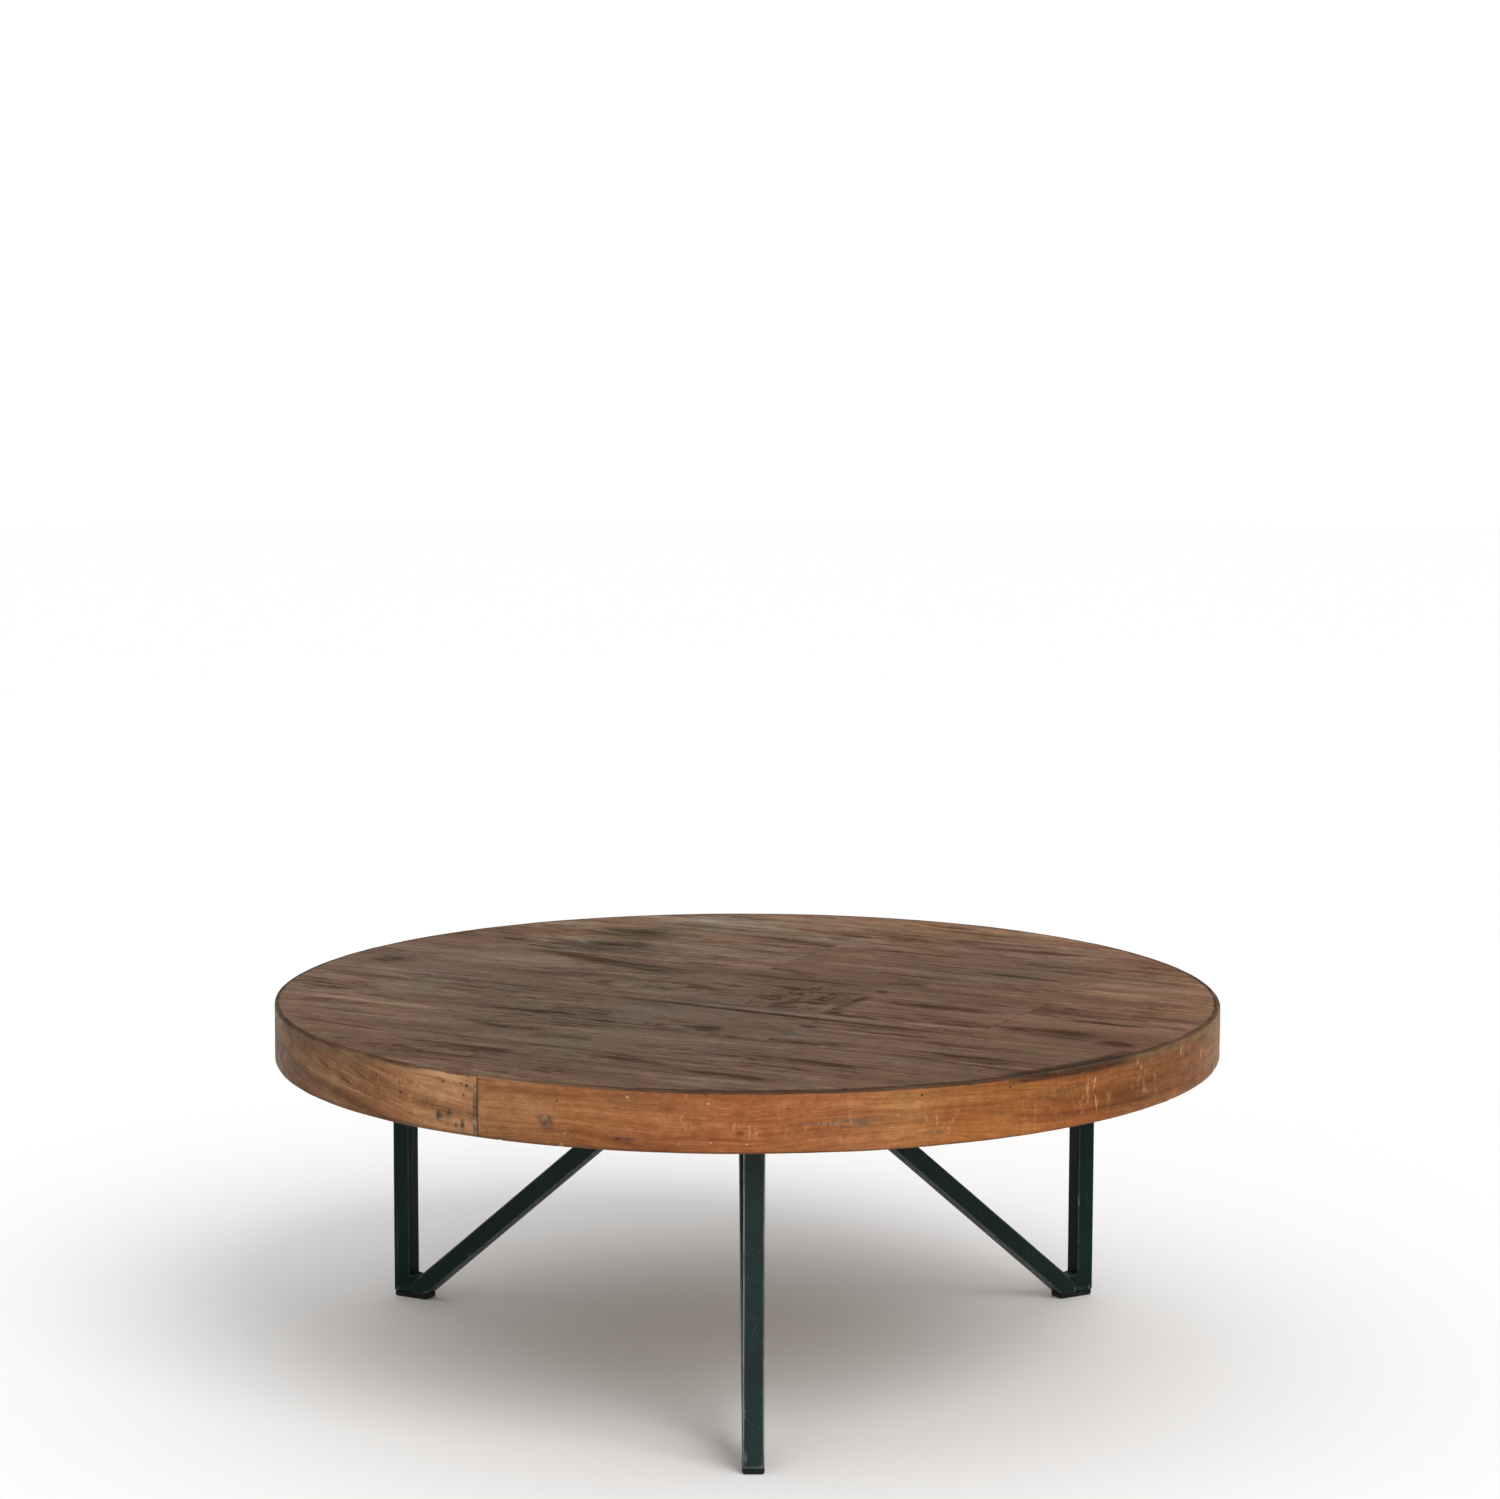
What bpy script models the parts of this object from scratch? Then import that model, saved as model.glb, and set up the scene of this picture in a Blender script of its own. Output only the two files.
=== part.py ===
"""Round coffee table, 90 cm across and 35 cm high.

A plank top on a built-up ring, wrapped by bent edge strips, stands on three
welded steel legs.  Each leg is a vertical square tube at the rim and a sloping
square tube that runs from the foot up to a round plate at the centre.
Metres, +Z up, origin on the floor under the centre of the top.
"""
import math

import bmesh
import bpy
from mathutils import Matrix, Vector

# ------------------------------------------------------------------ dimensions
TABLE_R = 0.450          # outer radius of the finished top
TABLE_H = 0.350          # floor to the top surface
TOP_T = 0.054            # height of the rim
PLANK_T = 0.022          # thickness of the top planks
EDGE_T = 0.006           # thickness of the bent edge strips
EDGE_ROUND = 0.003       # rounding of the rim's upper and lower arris
RING_W = 0.062           # radial width of the ring under the planks
CORE_LIFT = 0.0045       # ring and rail stop this far above the rim's lower edge,
                         # so the steel plates lie hidden behind it
GAP = 0.0003             # clearance between pieces that touch
STEP_DEG = 2.5           # facet step of every round outline

Z_TOP = TABLE_H
Z_UNDER = TABLE_H - TOP_T
Z_PLANK = TABLE_H - PLANK_T
Z_CORE = Z_UNDER + CORE_LIFT
CORE_R = TABLE_R - EDGE_T - GAP
RING_RI = CORE_R - RING_W

# planks: direction of the grain seen from above, rows from near to far
GRAIN_DEG = -28.9
ROW_EDGES = (-0.450, -0.307, -0.2005, -0.0832, 0.100, 0.276, 0.367, 0.450)
ROW_SLOPES = (0.0, 0.0, 0.0, -0.0251, 0.0, 0.0, 0.0, 0.0)   # one long joint runs a little askew
ROW_CUTS = ((), (), (0.122,), (0.107, 0.276), (-0.038,), (), ())
ROW_NAMES = "abcdefg"

# edge strips: where the three butt joints lie
EDGE_JOINTS_DEG = (-122.2, -2.2, 117.8)

RING_SEGMENTS = 8
RING_JOINT_DEG = 7.5

RAIL_W = 0.130           # centre rail, across the planks
BATTEN_W = 0.070
BATTEN_T = 0.022
BATTEN_OFFSET = 0.225

# steel
TUBE = 0.019             # square tube, outside
WALL = 0.0015
TUBE_ROUND = 0.002
LEG_R_OUT = 0.404        # outer face of the vertical tube from the axis
LEG_AZ_DEG = {"front": -90.0, "right": 30.0, "left": 150.0}
BRACE_DEG = 40.3         # slope of the sloping tube above the floor
BRACE_FOOT_R = 0.3656    # where its lower face meets the foot pad
PLATE_T = 0.004
HUB_R = 0.058
HUB_SCREW_R = 0.040
LEG_PLATE_TAN = 0.084
LEG_PLATE_RAD = 0.040
LEG_PLATE_SCREW = 0.029

# foot pads
PAD_H = 0.005
PAD_ROUND = 0.0018
PLUG_H = 0.012

# wood screws
SCREW_HEAD_R = 0.0043
SCREW_HEAD_H = 0.0024
SCREW_SHANK_R = 0.0021
SCREW_LEN = 0.028
SCREW_CLEAR = 0.0004
SCREW_SIDES = 12
BATTEN_SCREW_LEN = 0.032


# ------------------------------------------------------------------- materials
def material(name, rgb, rough, metal=0.0):
    m = bpy.data.materials.new(name)
    m.use_nodes = True
    b = m.node_tree.nodes["Principled BSDF"]
    b.inputs["Base Color"].default_value = (*rgb, 1.0)
    b.inputs["Roughness"].default_value = rough
    b.inputs["Metallic"].default_value = metal
    m.diffuse_color = (*rgb, 1.0)
    return m


# ------------------------------------------------------------- object building
def new_object(name, bm, mat, parent=None, smooth_deg=None):
    bmesh.ops.recalc_face_normals(bm, faces=bm.faces)
    me = bpy.data.meshes.new(name)
    bm.to_mesh(me)
    bm.free()
    me.materials.append(mat)
    if smooth_deg is not None:
        me.shade_smooth()
        me.set_sharp_from_angle(angle=math.radians(smooth_deg))
    ob = bpy.data.objects.new(name, me)
    bpy.context.scene.collection.objects.link(ob)
    if parent is not None:
        ob.parent = parent
    return ob


def empty(name, matrix):
    e = bpy.data.objects.new(name, None)
    e.matrix_world = matrix
    bpy.context.scene.collection.objects.link(e)
    return e


def cut(target, cutter):
    cutter.hide_render = True
    cutter.display_type = 'WIRE'
    mod = target.modifiers.new("cut_" + cutter.name, 'BOOLEAN')
    mod.operation = 'DIFFERENCE'
    mod.solver = 'EXACT'
    mod.object = cutter


def prism(name, outline, z0, z1, mat, parent=None, smooth_deg=None):
    """Upright solid on a closed outline given as (x, y) points."""
    bm = bmesh.new()
    low = [bm.verts.new((x, y, z0)) for x, y in outline]
    base = bm.faces.new(low)
    up = bmesh.ops.extrude_face_region(bm, geom=[base])
    verts = [g for g in up["geom"] if isinstance(g, bmesh.types.BMVert)]
    bmesh.ops.translate(bm, verts=verts, vec=(0, 0, z1 - z0))
    return new_object(name, bm, mat, parent, smooth_deg)


# --------------------------------------------------------------------- outlines
def arc_angles(a0, a1):
    """Angles from a0 to a1 in degrees, on every multiple of the step between."""
    k = math.floor(a0 / STEP_DEG) + 1
    out = [a0]
    while k * STEP_DEG < a1 - 0.2:
        if k * STEP_DEG > a0 + 0.2:
            out.append(k * STEP_DEG)
        k += 1
    out.append(a1)
    return out


def on_circle(r, deg):
    a = math.radians(deg)
    return (r * math.cos(a), r * math.sin(a))


def circle(r, step=STEP_DEG):
    n = round(360 / step)
    return [on_circle(r, i * step) for i in range(n)]


def keep_side(poly, nx, ny, d):
    """Clip a convex outline to the side where nx*x + ny*y <= d."""
    out = []
    for i, p in enumerate(poly):
        q = poly[(i + 1) % len(poly)]
        sp = nx * p[0] + ny * p[1] - d
        sq = nx * q[0] + ny * q[1] - d
        if sp <= 0:
            out.append(p)
        if (sp < 0 < sq) or (sq < 0 < sp):
            t = sp / (sp - sq)
            out.append((p[0] + t * (q[0] - p[0]), p[1] + t * (q[1] - p[1])))
    clean = []
    for p in out:
        if not clean or math.dist(p, clean[-1]) > 1e-5:
            clean.append(p)
    if math.dist(clean[0], clean[-1]) < 1e-5:
        clean.pop()
    return clean


GU = Vector((math.cos(math.radians(GRAIN_DEG)), math.sin(math.radians(GRAIN_DEG))))
GV = Vector((-GU.y, GU.x))


def strip(radius, u0, u1, v0, v1, slope0=0.0, slope1=0.0):
    """The part of a disc between two lines across and two along the grain."""
    poly = circle(radius)
    poly = keep_side(poly, -GU.x, -GU.y, -u0)
    poly = keep_side(poly, GU.x, GU.y, u1)
    low, high = GV - slope0 * GU, GV - slope1 * GU
    poly = keep_side(poly, -low.x, -low.y, -v0)
    return keep_side(poly, high.x, high.y, v1)


def rounded_square(half, r, steps=3):
    pts = []
    for cx, cy, a0 in ((1, 1, 0), (-1, 1, 90), (-1, -1, 180), (1, -1, 270)):
        for i in range(steps + 1):
            a = math.radians(a0 + 90 * i / steps)
            pts.append((cx * (half - r) + r * math.cos(a), cy * (half - r) + r * math.sin(a)))
    return pts


# ----------------------------------------------------------------- swept strips
def edge_strip(name, a0, a1, mat):
    """A bent strip that covers the rim's full height, its outer arrises rounded."""
    r_in = TABLE_R - EDGE_T
    prof = [(r_in, Z_UNDER)]
    for i in range(4):
        a = math.radians(-90 + 30 * i)
        prof.append((TABLE_R - EDGE_ROUND + EDGE_ROUND * math.cos(a),
                     Z_UNDER + EDGE_ROUND + EDGE_ROUND * math.sin(a)))
    for i in range(4):
        a = math.radians(30 * i)
        prof.append((TABLE_R - EDGE_ROUND + EDGE_ROUND * math.cos(a),
                     Z_TOP - EDGE_ROUND + EDGE_ROUND * math.sin(a)))
    prof.append((r_in, Z_TOP))
    bm = bmesh.new()
    rows = []
    for deg in arc_angles(a0, a1):
        c, s = on_circle(1.0, deg)
        rows.append([bm.verts.new((r * c, r * s, z)) for r, z in prof])
    n = len(prof)
    for r0, r1 in zip(rows, rows[1:]):
        for i in range(n):
            j = (i + 1) % n
            bm.faces.new((r0[i], r1[i], r1[j], r0[j]))
    bm.faces.new(rows[0])
    bm.faces.new(list(reversed(rows[-1])))
    return new_object(name, bm, mat, None, 35)


def ring_segment(name, a0, a1, mat):
    angles = arc_angles(a0, a1)
    outline = [on_circle(CORE_R, a) for a in angles]
    outline += [on_circle(RING_RI, a) for a in reversed(angles)]
    return prism(name, outline, Z_CORE, Z_PLANK - GAP, mat, None, 35)


# ----------------------------------------------------------------------- screws
def screw(name, at, up_len, mat, parent=None):
    """Countersunk wood screw, head down at height at.z, point up."""
    prof = [(SCREW_HEAD_R, 0.0), (SCREW_HEAD_R, 0.0003), (SCREW_SHANK_R, SCREW_HEAD_H),
            (SCREW_SHANK_R, up_len * 0.78), (0.0004, up_len)]
    bm = bmesh.new()
    rings = []
    for r, z in prof:
        ring = []
        for i in range(SCREW_SIDES):
            a = 2 * math.pi * i / SCREW_SIDES
            ring.append(bm.verts.new((r * math.cos(a), r * math.sin(a), z)))
        rings.append(ring)
    for r0, r1 in zip(rings, rings[1:]):
        for i in range(SCREW_SIDES):
            j = (i + 1) % SCREW_SIDES
            bm.faces.new((r0[i], r0[j], r1[j], r1[i]))
    bm.faces.new(list(reversed(rings[0])))
    bm.faces.new(rings[-1])
    ob = new_object(name, bm, mat, parent, 40)
    ob.location = at
    return ob


def screw_hole(name, at, up_len, parent=None):
    """Cutter that leaves the clearance round a screw, countersink included."""
    c = SCREW_CLEAR
    prof = [(SCREW_HEAD_R + c, -0.003), (SCREW_HEAD_R + c, 0.0005), (SCREW_SHANK_R + c, SCREW_HEAD_H + c),
            (SCREW_SHANK_R + c, up_len + 0.0010)]
    bm = bmesh.new()
    rings = []
    for r, z in prof:
        rings.append([bm.verts.new((r * math.cos(2 * math.pi * i / SCREW_SIDES),
                                    r * math.sin(2 * math.pi * i / SCREW_SIDES), z))
                      for i in range(SCREW_SIDES)])
    for r0, r1 in zip(rings, rings[1:]):
        for i in range(SCREW_SIDES):
            j = (i + 1) % SCREW_SIDES
            bm.faces.new((r0[i], r0[j], r1[j], r1[i]))
    bm.faces.new(list(reversed(rings[0])))
    bm.faces.new(rings[-1])
    ob = new_object(name, bm, MAT_STEEL, parent)
    ob.location = at
    ob.hide_render = True
    ob.display_type = 'WIRE'
    return ob


# ------------------------------------------------------------------------- legs
def tube_mesh(bm_path, half_out, r_out):
    """Solid bar of rounded square section between two ends, local frame given."""
    a, b, side, up = bm_path
    bm = bmesh.new()
    sect = rounded_square(half_out, r_out) if r_out > 0 else \
        [(half_out, half_out), (-half_out, half_out), (-half_out, -half_out), (half_out, -half_out)]
    ends = []
    for p in (a, b):
        ends.append([bm.verts.new(p + side * x + up * y) for x, y in sect])
    n = len(sect)
    for i in range(n):
        j = (i + 1) % n
        bm.faces.new((ends[0][i], ends[0][j], ends[1][j], ends[1][i]))
    bm.faces.new(list(reversed(ends[0])))
    bm.faces.new(ends[1])
    bmesh.ops.recalc_face_normals(bm, faces=bm.faces)
    return bm


def trim(bm, point, normal):
    """Cut off what lies on the normal's side of a plane and close the end."""
    geom = bm.verts[:] + bm.edges[:] + bm.faces[:]
    res = bmesh.ops.bisect_plane(bm, geom=geom, dist=1e-6, plane_co=point, plane_no=normal,
                                 clear_outer=True, clear_inner=False)
    edges = [e for e in res["geom_cut"] if isinstance(e, bmesh.types.BMEdge)]
    bmesh.ops.contextual_create(bm, geom=edges)
    bmesh.ops.recalc_face_normals(bm, faces=bm.faces)


def foot_pad(name, mat, parent):
    """Glide under the foot with a square plug that goes up into the tube."""
    r0, r1 = BRACE_FOOT_R - 0.0008, LEG_R_OUT - 0.0008
    half = TUBE / 2 - 0.0003
    rc = 0.0025
    pts = []
    for cx, cy, a0 in ((r1, half, 0), (r0, half, 90), (r0, -half, 180), (r1, -half, 270)):
        sx = -1 if cx == r1 else 1
        sy = -1 if cy > 0 else 1
        for i in range(4):
            a = math.radians(a0 + 30 * i)
            pts.append((cx + sx * rc + rc * math.cos(a), cy + sy * rc + rc * math.sin(a)))
    mid = (r0 + r1) / 2

    def inset(k, z):
        out = []
        for x, y in pts:
            dx = k if x < mid else -k
            dy = k if y < 0 else -k
            out.append((x + dx, y + dy, z))
        return out

    bm = bmesh.new()
    rings = [[bm.verts.new(p) for p in inset(PAD_ROUND, 0.0)],
             [bm.verts.new(p) for p in inset(PAD_ROUND * 0.29, PAD_ROUND * 0.29)],
             [bm.verts.new(p) for p in inset(0.0, PAD_ROUND)],
             [bm.verts.new(p) for p in inset(0.0, PAD_H)]]
    n = len(pts)
    for a, b in zip(rings, rings[1:]):
        for i in range(n):
            j = (i + 1) % n
            bm.faces.new((a[i], a[j], b[j], b[i]))
    bm.faces.new(list(reversed(rings[0])))
    top = bm.faces.new(rings[-1])
    # plug: inset a square on the top face and raise it
    ph = TUBE / 2 - WALL - 0.0004
    pc = LEG_R_OUT - TUBE / 2
    plug = [bm.verts.new((pc + sx * ph, sy * ph, PAD_H)) for sx, sy in ((1, 1), (-1, 1), (-1, -1), (1, -1))]
    bm.faces.remove(top)
    outer_edges = [bm.edges.get((rings[-1][i], rings[-1][(i + 1) % n])) for i in range(n)]
    inner_edges = [bm.edges.new((plug[i], plug[(i + 1) % 4])) for i in range(4)]
    bmesh.ops.bridge_loops(bm, edges=outer_edges + inner_edges)
    cap = bm.faces.new(plug)
    up = bmesh.ops.extrude_face_region(bm, geom=[cap])
    verts = [g for g in up["geom"] if isinstance(g, bmesh.types.BMVert)]
    bmesh.ops.translate(bm, verts=verts, vec=(0, 0, PLUG_H))
    c = sum((v.co for v in verts), Vector()) / 4
    for v in verts:
        v.co = Vector((c.x + (v.co.x - c.x) * 0.92, v.co.y * 0.92, v.co.z))
    if cap.is_valid:
        bmesh.ops.delete(bm, geom=[cap], context='FACES_ONLY')
    return new_object(name, bm, mat, parent, 35)


def leg(side, az_deg, M):
    """One leg in its own frame: +X outwards from the table's axis, +Z up."""
    frame = empty("leg_%s_frame" % side, Matrix.Rotation(math.radians(az_deg), 4, 'Z'))
    z0 = PAD_H + GAP
    z1 = Z_CORE - PLATE_T - 2 * GAP
    rc = LEG_R_OUT - TUBE / 2
    X, Y, Z = Vector((1, 0, 0)), Vector((0, 1, 0)), Vector((0, 0, 1))
    half = TUBE / 2

    # vertical tube, open at both ends, a drain-size hollow all through
    post = new_object("leg_%s_post" % side,
                      tube_mesh((X * rc + Z * z0, X * rc + Z * z1, X, Y), half, TUBE_ROUND),
                      M["steel"], frame, 35)
    bore = new_object("leg_%s_post_bore" % side,
                      tube_mesh((X * rc + Z * (z0 - 0.01), X * rc + Z * (z1 + 0.01), X, Y), half - WALL, 0.0),
                      M["steel"], frame)
    cut(post, bore)

    # sloping tube: lower face starts at the pad's inner end
    al = math.radians(BRACE_DEG)
    d = Vector((-math.cos(al), 0, math.sin(al)))
    nrm = Vector((math.sin(al), 0, math.cos(al)))
    start = Vector((BRACE_FOOT_R, 0, z0)) + nrm * half
    reach = (z1 - z0) / math.sin(al)
    bm = tube_mesh((start - d * 0.06, start + d * (reach + 0.06), nrm, Y), half, TUBE_ROUND)
    trim(bm, Z * z1, Z)
    trim(bm, Z * z0, -Z)
    trim(bm, X * (rc - half - GAP), X)
    brace = new_object("leg_%s_brace" % side, bm, M["steel"], frame, 35)
    bore = new_object("leg_%s_brace_bore" % side,
                      tube_mesh((start - d * 0.08, start + d * (reach + 0.08), nrm, Y), half - WALL, 0.0),
                      M["steel"], frame)
    cut(brace, bore)

    # plate on top of the post, screwed up into the ring
    hx, hy = LEG_PLATE_RAD / 2, LEG_PLATE_TAN / 2
    r = 0.006
    outline = []
    for cx, cy, a0 in ((rc + hx, hy, 0), (rc - hx, hy, 90), (rc - hx, -hy, 180), (rc + hx, -hy, 270)):
        sx = -1 if cx > rc else 1
        sy = -1 if cy > 0 else 1
        for i in range(4):
            a = math.radians(a0 + 30 * i)
            outline.append((cx + sx * r + r * math.cos(a), cy + sy * r + r * math.sin(a)))
    zp = Z_CORE - GAP
    plate = prism("leg_%s_plate" % side, outline, zp - PLATE_T, zp, M["steel"], frame, 35)

    foot_pad("leg_%s_foot_pad" % side, M["pad"], frame)
    holes = []
    for k, sy in enumerate((-1, 1)):
        at = Vector((rc, sy * LEG_PLATE_SCREW, zp - PLATE_T + 0.0002))
        screw("leg_%s_screw_%d" % (side, k + 1), at, SCREW_LEN, M["screw"], frame)
        h = screw_hole("leg_%s_screw_%d_hole" % (side, k + 1), at, SCREW_LEN, frame)
        cut(plate, h)
        holes.append(h)
    return holes


# ------------------------------------------------------------------------ build
for ob in list(bpy.data.objects):
    bpy.data.objects.remove(ob, do_unlink=True)

MAT_TOP = material("plank_wood", (0.150, 0.088, 0.056), 0.42)
MAT_EDGE = material("edge_wood", (0.330, 0.150, 0.070), 0.45)
MAT_CORE = material("core_wood", (0.300, 0.190, 0.110), 0.65)
MAT_STEEL = material("painted_steel", (0.014, 0.022, 0.023), 0.42, 0.0)
MAT_PAD = material("pad_plastic", (0.010, 0.010, 0.010), 0.55)
MAT_SCREW = material("screw_steel", (0.300, 0.290, 0.270), 0.35, 1.0)
M = {"steel": MAT_STEEL, "pad": MAT_PAD, "screw": MAT_SCREW}

# top planks
planks = {}
half_gap = GAP / 2
for row, (v0, v1) in enumerate(zip(ROW_EDGES, ROW_EDGES[1:])):
    edges = (-0.6,) + ROW_CUTS[row] + (0.6,)
    for k, (u0, u1) in enumerate(zip(edges, edges[1:])):
        outline = strip(CORE_R, u0 + half_gap, u1 - half_gap, v0 + half_gap, v1 - half_gap,
                        ROW_SLOPES[row], ROW_SLOPES[row + 1])
        tag = ROW_NAMES[row] + (str(k + 1) if len(edges) > 2 else "")
        planks[tag] = prism("top_plank_%s" % tag, outline, Z_PLANK, Z_TOP, MAT_TOP, None, 35)

# edge strips
joints = list(EDGE_JOINTS_DEG) + [EDGE_JOINTS_DEG[0] + 360]
half_gap_deg = math.degrees(half_gap / TABLE_R)
for k in range(3):
    edge_strip("edge_strip_%d" % (k + 1), joints[k] + half_gap_deg, joints[k + 1] - half_gap_deg, MAT_EDGE)

# ring under the planks
ring = []
seg = 360 / RING_SEGMENTS
half_gap_ring = math.degrees(half_gap / RING_RI)
for k in range(RING_SEGMENTS):
    a0 = RING_JOINT_DEG + k * seg
    ring.append((a0, a0 + seg, ring_segment("ring_segment_%d" % (k + 1), a0 + half_gap_ring,
                                            a0 + seg - half_gap_ring, MAT_CORE)))

# centre rail and two battens, all across the planks
rail = prism("centre_rail", strip(RING_RI - GAP, -RAIL_W / 2, RAIL_W / 2, -0.6, 0.6),
             Z_CORE, Z_PLANK - GAP, MAT_CORE, None, 35)
battens = {}
for tag, u in (("left", -BATTEN_OFFSET), ("right", BATTEN_OFFSET)):
    battens[tag] = prism("batten_%s" % tag, strip(RING_RI - GAP, u - BATTEN_W / 2, u + BATTEN_W / 2, -0.6, 0.6),
                         Z_PLANK - GAP - BATTEN_T, Z_PLANK - GAP, MAT_CORE, None, 35)

# legs
for side, az in LEG_AZ_DEG.items():
    holes = leg(side, az, M)
    for a0, a1, ob in ring:
        if a0 < az % 360 < a1 or a0 < az % 360 + 360 < a1:
            for h in holes:
                cut(ob, h)

# plate at the centre
hub = prism("hub_plate", circle(HUB_R, 7.5), Z_CORE - GAP - PLATE_T, Z_CORE - GAP, MAT_STEEL, None, 35)
for k, az in enumerate((-30.0, 90.0, 210.0)):
    x, y = on_circle(HUB_SCREW_R, az)
    at = Vector((x, y, Z_CORE - GAP - PLATE_T + 0.0002))
    screw("hub_screw_%d" % (k + 1), at, SCREW_LEN, MAT_SCREW)
    h = screw_hole("hub_screw_%d_hole" % (k + 1), at, SCREW_LEN)
    cut(hub, h)
    cut(rail, h)

# batten screws, driven up into the planks
BATTEN_SCREWS = (("left", -BATTEN_OFFSET, (-0.250, 0.010, 0.190), ("b", "d1", "e1")),
                 ("right", BATTEN_OFFSET, (-0.250, 0.010, 0.190), ("b", "d2", "e2")))
for tag, u, vs, tags in BATTEN_SCREWS:
    for k, (v, plank_tag) in enumerate(zip(vs, tags)):
        p = GU * u + GV * v
        at = Vector((p.x, p.y, Z_PLANK - GAP - BATTEN_T + 0.0002))
        screw("batten_%s_screw_%d" % (tag, k + 1), at, BATTEN_SCREW_LEN, MAT_SCREW)
        h = screw_hole("batten_%s_screw_%d_hole" % (tag, k + 1), at, BATTEN_SCREW_LEN)
        cut(battens[tag], h)
        cut(planks[plank_tag], h)
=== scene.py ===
import math

import bpy
import numpy as np
from mathutils import Matrix, Vector, noise
from mathutils.geometry import delaunay_2d_cdt


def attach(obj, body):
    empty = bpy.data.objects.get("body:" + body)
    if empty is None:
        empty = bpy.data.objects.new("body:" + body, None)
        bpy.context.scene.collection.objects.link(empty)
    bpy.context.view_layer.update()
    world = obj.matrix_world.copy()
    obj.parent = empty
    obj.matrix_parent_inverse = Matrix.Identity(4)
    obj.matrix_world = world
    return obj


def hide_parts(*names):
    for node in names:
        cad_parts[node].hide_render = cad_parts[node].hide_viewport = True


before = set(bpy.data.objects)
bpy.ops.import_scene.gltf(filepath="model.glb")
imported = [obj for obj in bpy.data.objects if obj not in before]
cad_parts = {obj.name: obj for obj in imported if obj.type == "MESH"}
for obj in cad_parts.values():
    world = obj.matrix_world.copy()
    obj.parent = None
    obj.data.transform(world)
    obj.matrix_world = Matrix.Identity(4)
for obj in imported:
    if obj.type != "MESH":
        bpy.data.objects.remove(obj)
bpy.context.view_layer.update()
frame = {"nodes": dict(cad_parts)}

# ------------------------------------------------------------------ dimensions
TABLE_R, TABLE_H, TOP_T = 0.450, 0.350, 0.054
PLANK_T, EDGE_T = 0.022, 0.006
CORE_LIFT, GAP = 0.0045, 0.0003
Z_TOP, Z_UNDER, Z_PLANK = TABLE_H, TABLE_H - TOP_T, TABLE_H - PLANK_T
Z_CORE = Z_UNDER + CORE_LIFT
CORE_R = TABLE_R - EDGE_T - GAP
GRAIN_DEG = -28.9
ROW_EDGES = (-0.450, -0.307, -0.2005, -0.0832, 0.100, 0.276, 0.367, 0.450)
ROW_SLOPES = (0.0, 0.0, 0.0, -0.0251, 0.0, 0.0, 0.0, 0.0)
ROW_CUTS = ((), (), (0.122,), (0.107, 0.276), (-0.038,), (), ())
ROW_NAMES = "abcdefg"
EDGE_JOINTS_DEG = (-122.2, -2.2, 117.8)
TUBE, WALL = 0.019, 0.0015
LEG_R_OUT = 0.404
LEG_AZ_DEG = {"front": -90.0, "right": 30.0, "left": 150.0}
BRACE_DEG, BRACE_FOOT_R = 40.3, 0.3656
PLATE_T, PAD_H, PLUG_H = 0.004, 0.005, 0.012
LEG_PLATE_SCREW, HUB_SCREW_R = 0.029, 0.040
BATTEN_T, BATTEN_OFFSET = 0.022, 0.225
SCREW_HEAD_R, SCREW_HEAD_H, SCREW_SHANK_R = 0.0043, 0.0024, 0.0021

GU = Vector((math.cos(math.radians(GRAIN_DEG)), math.sin(math.radians(GRAIN_DEG)), 0.0))
GV = Vector((-GU.y, GU.x, 0.0))


def n3(x, y, z):
    return noise.noise(Vector((x, y, z)))


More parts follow.
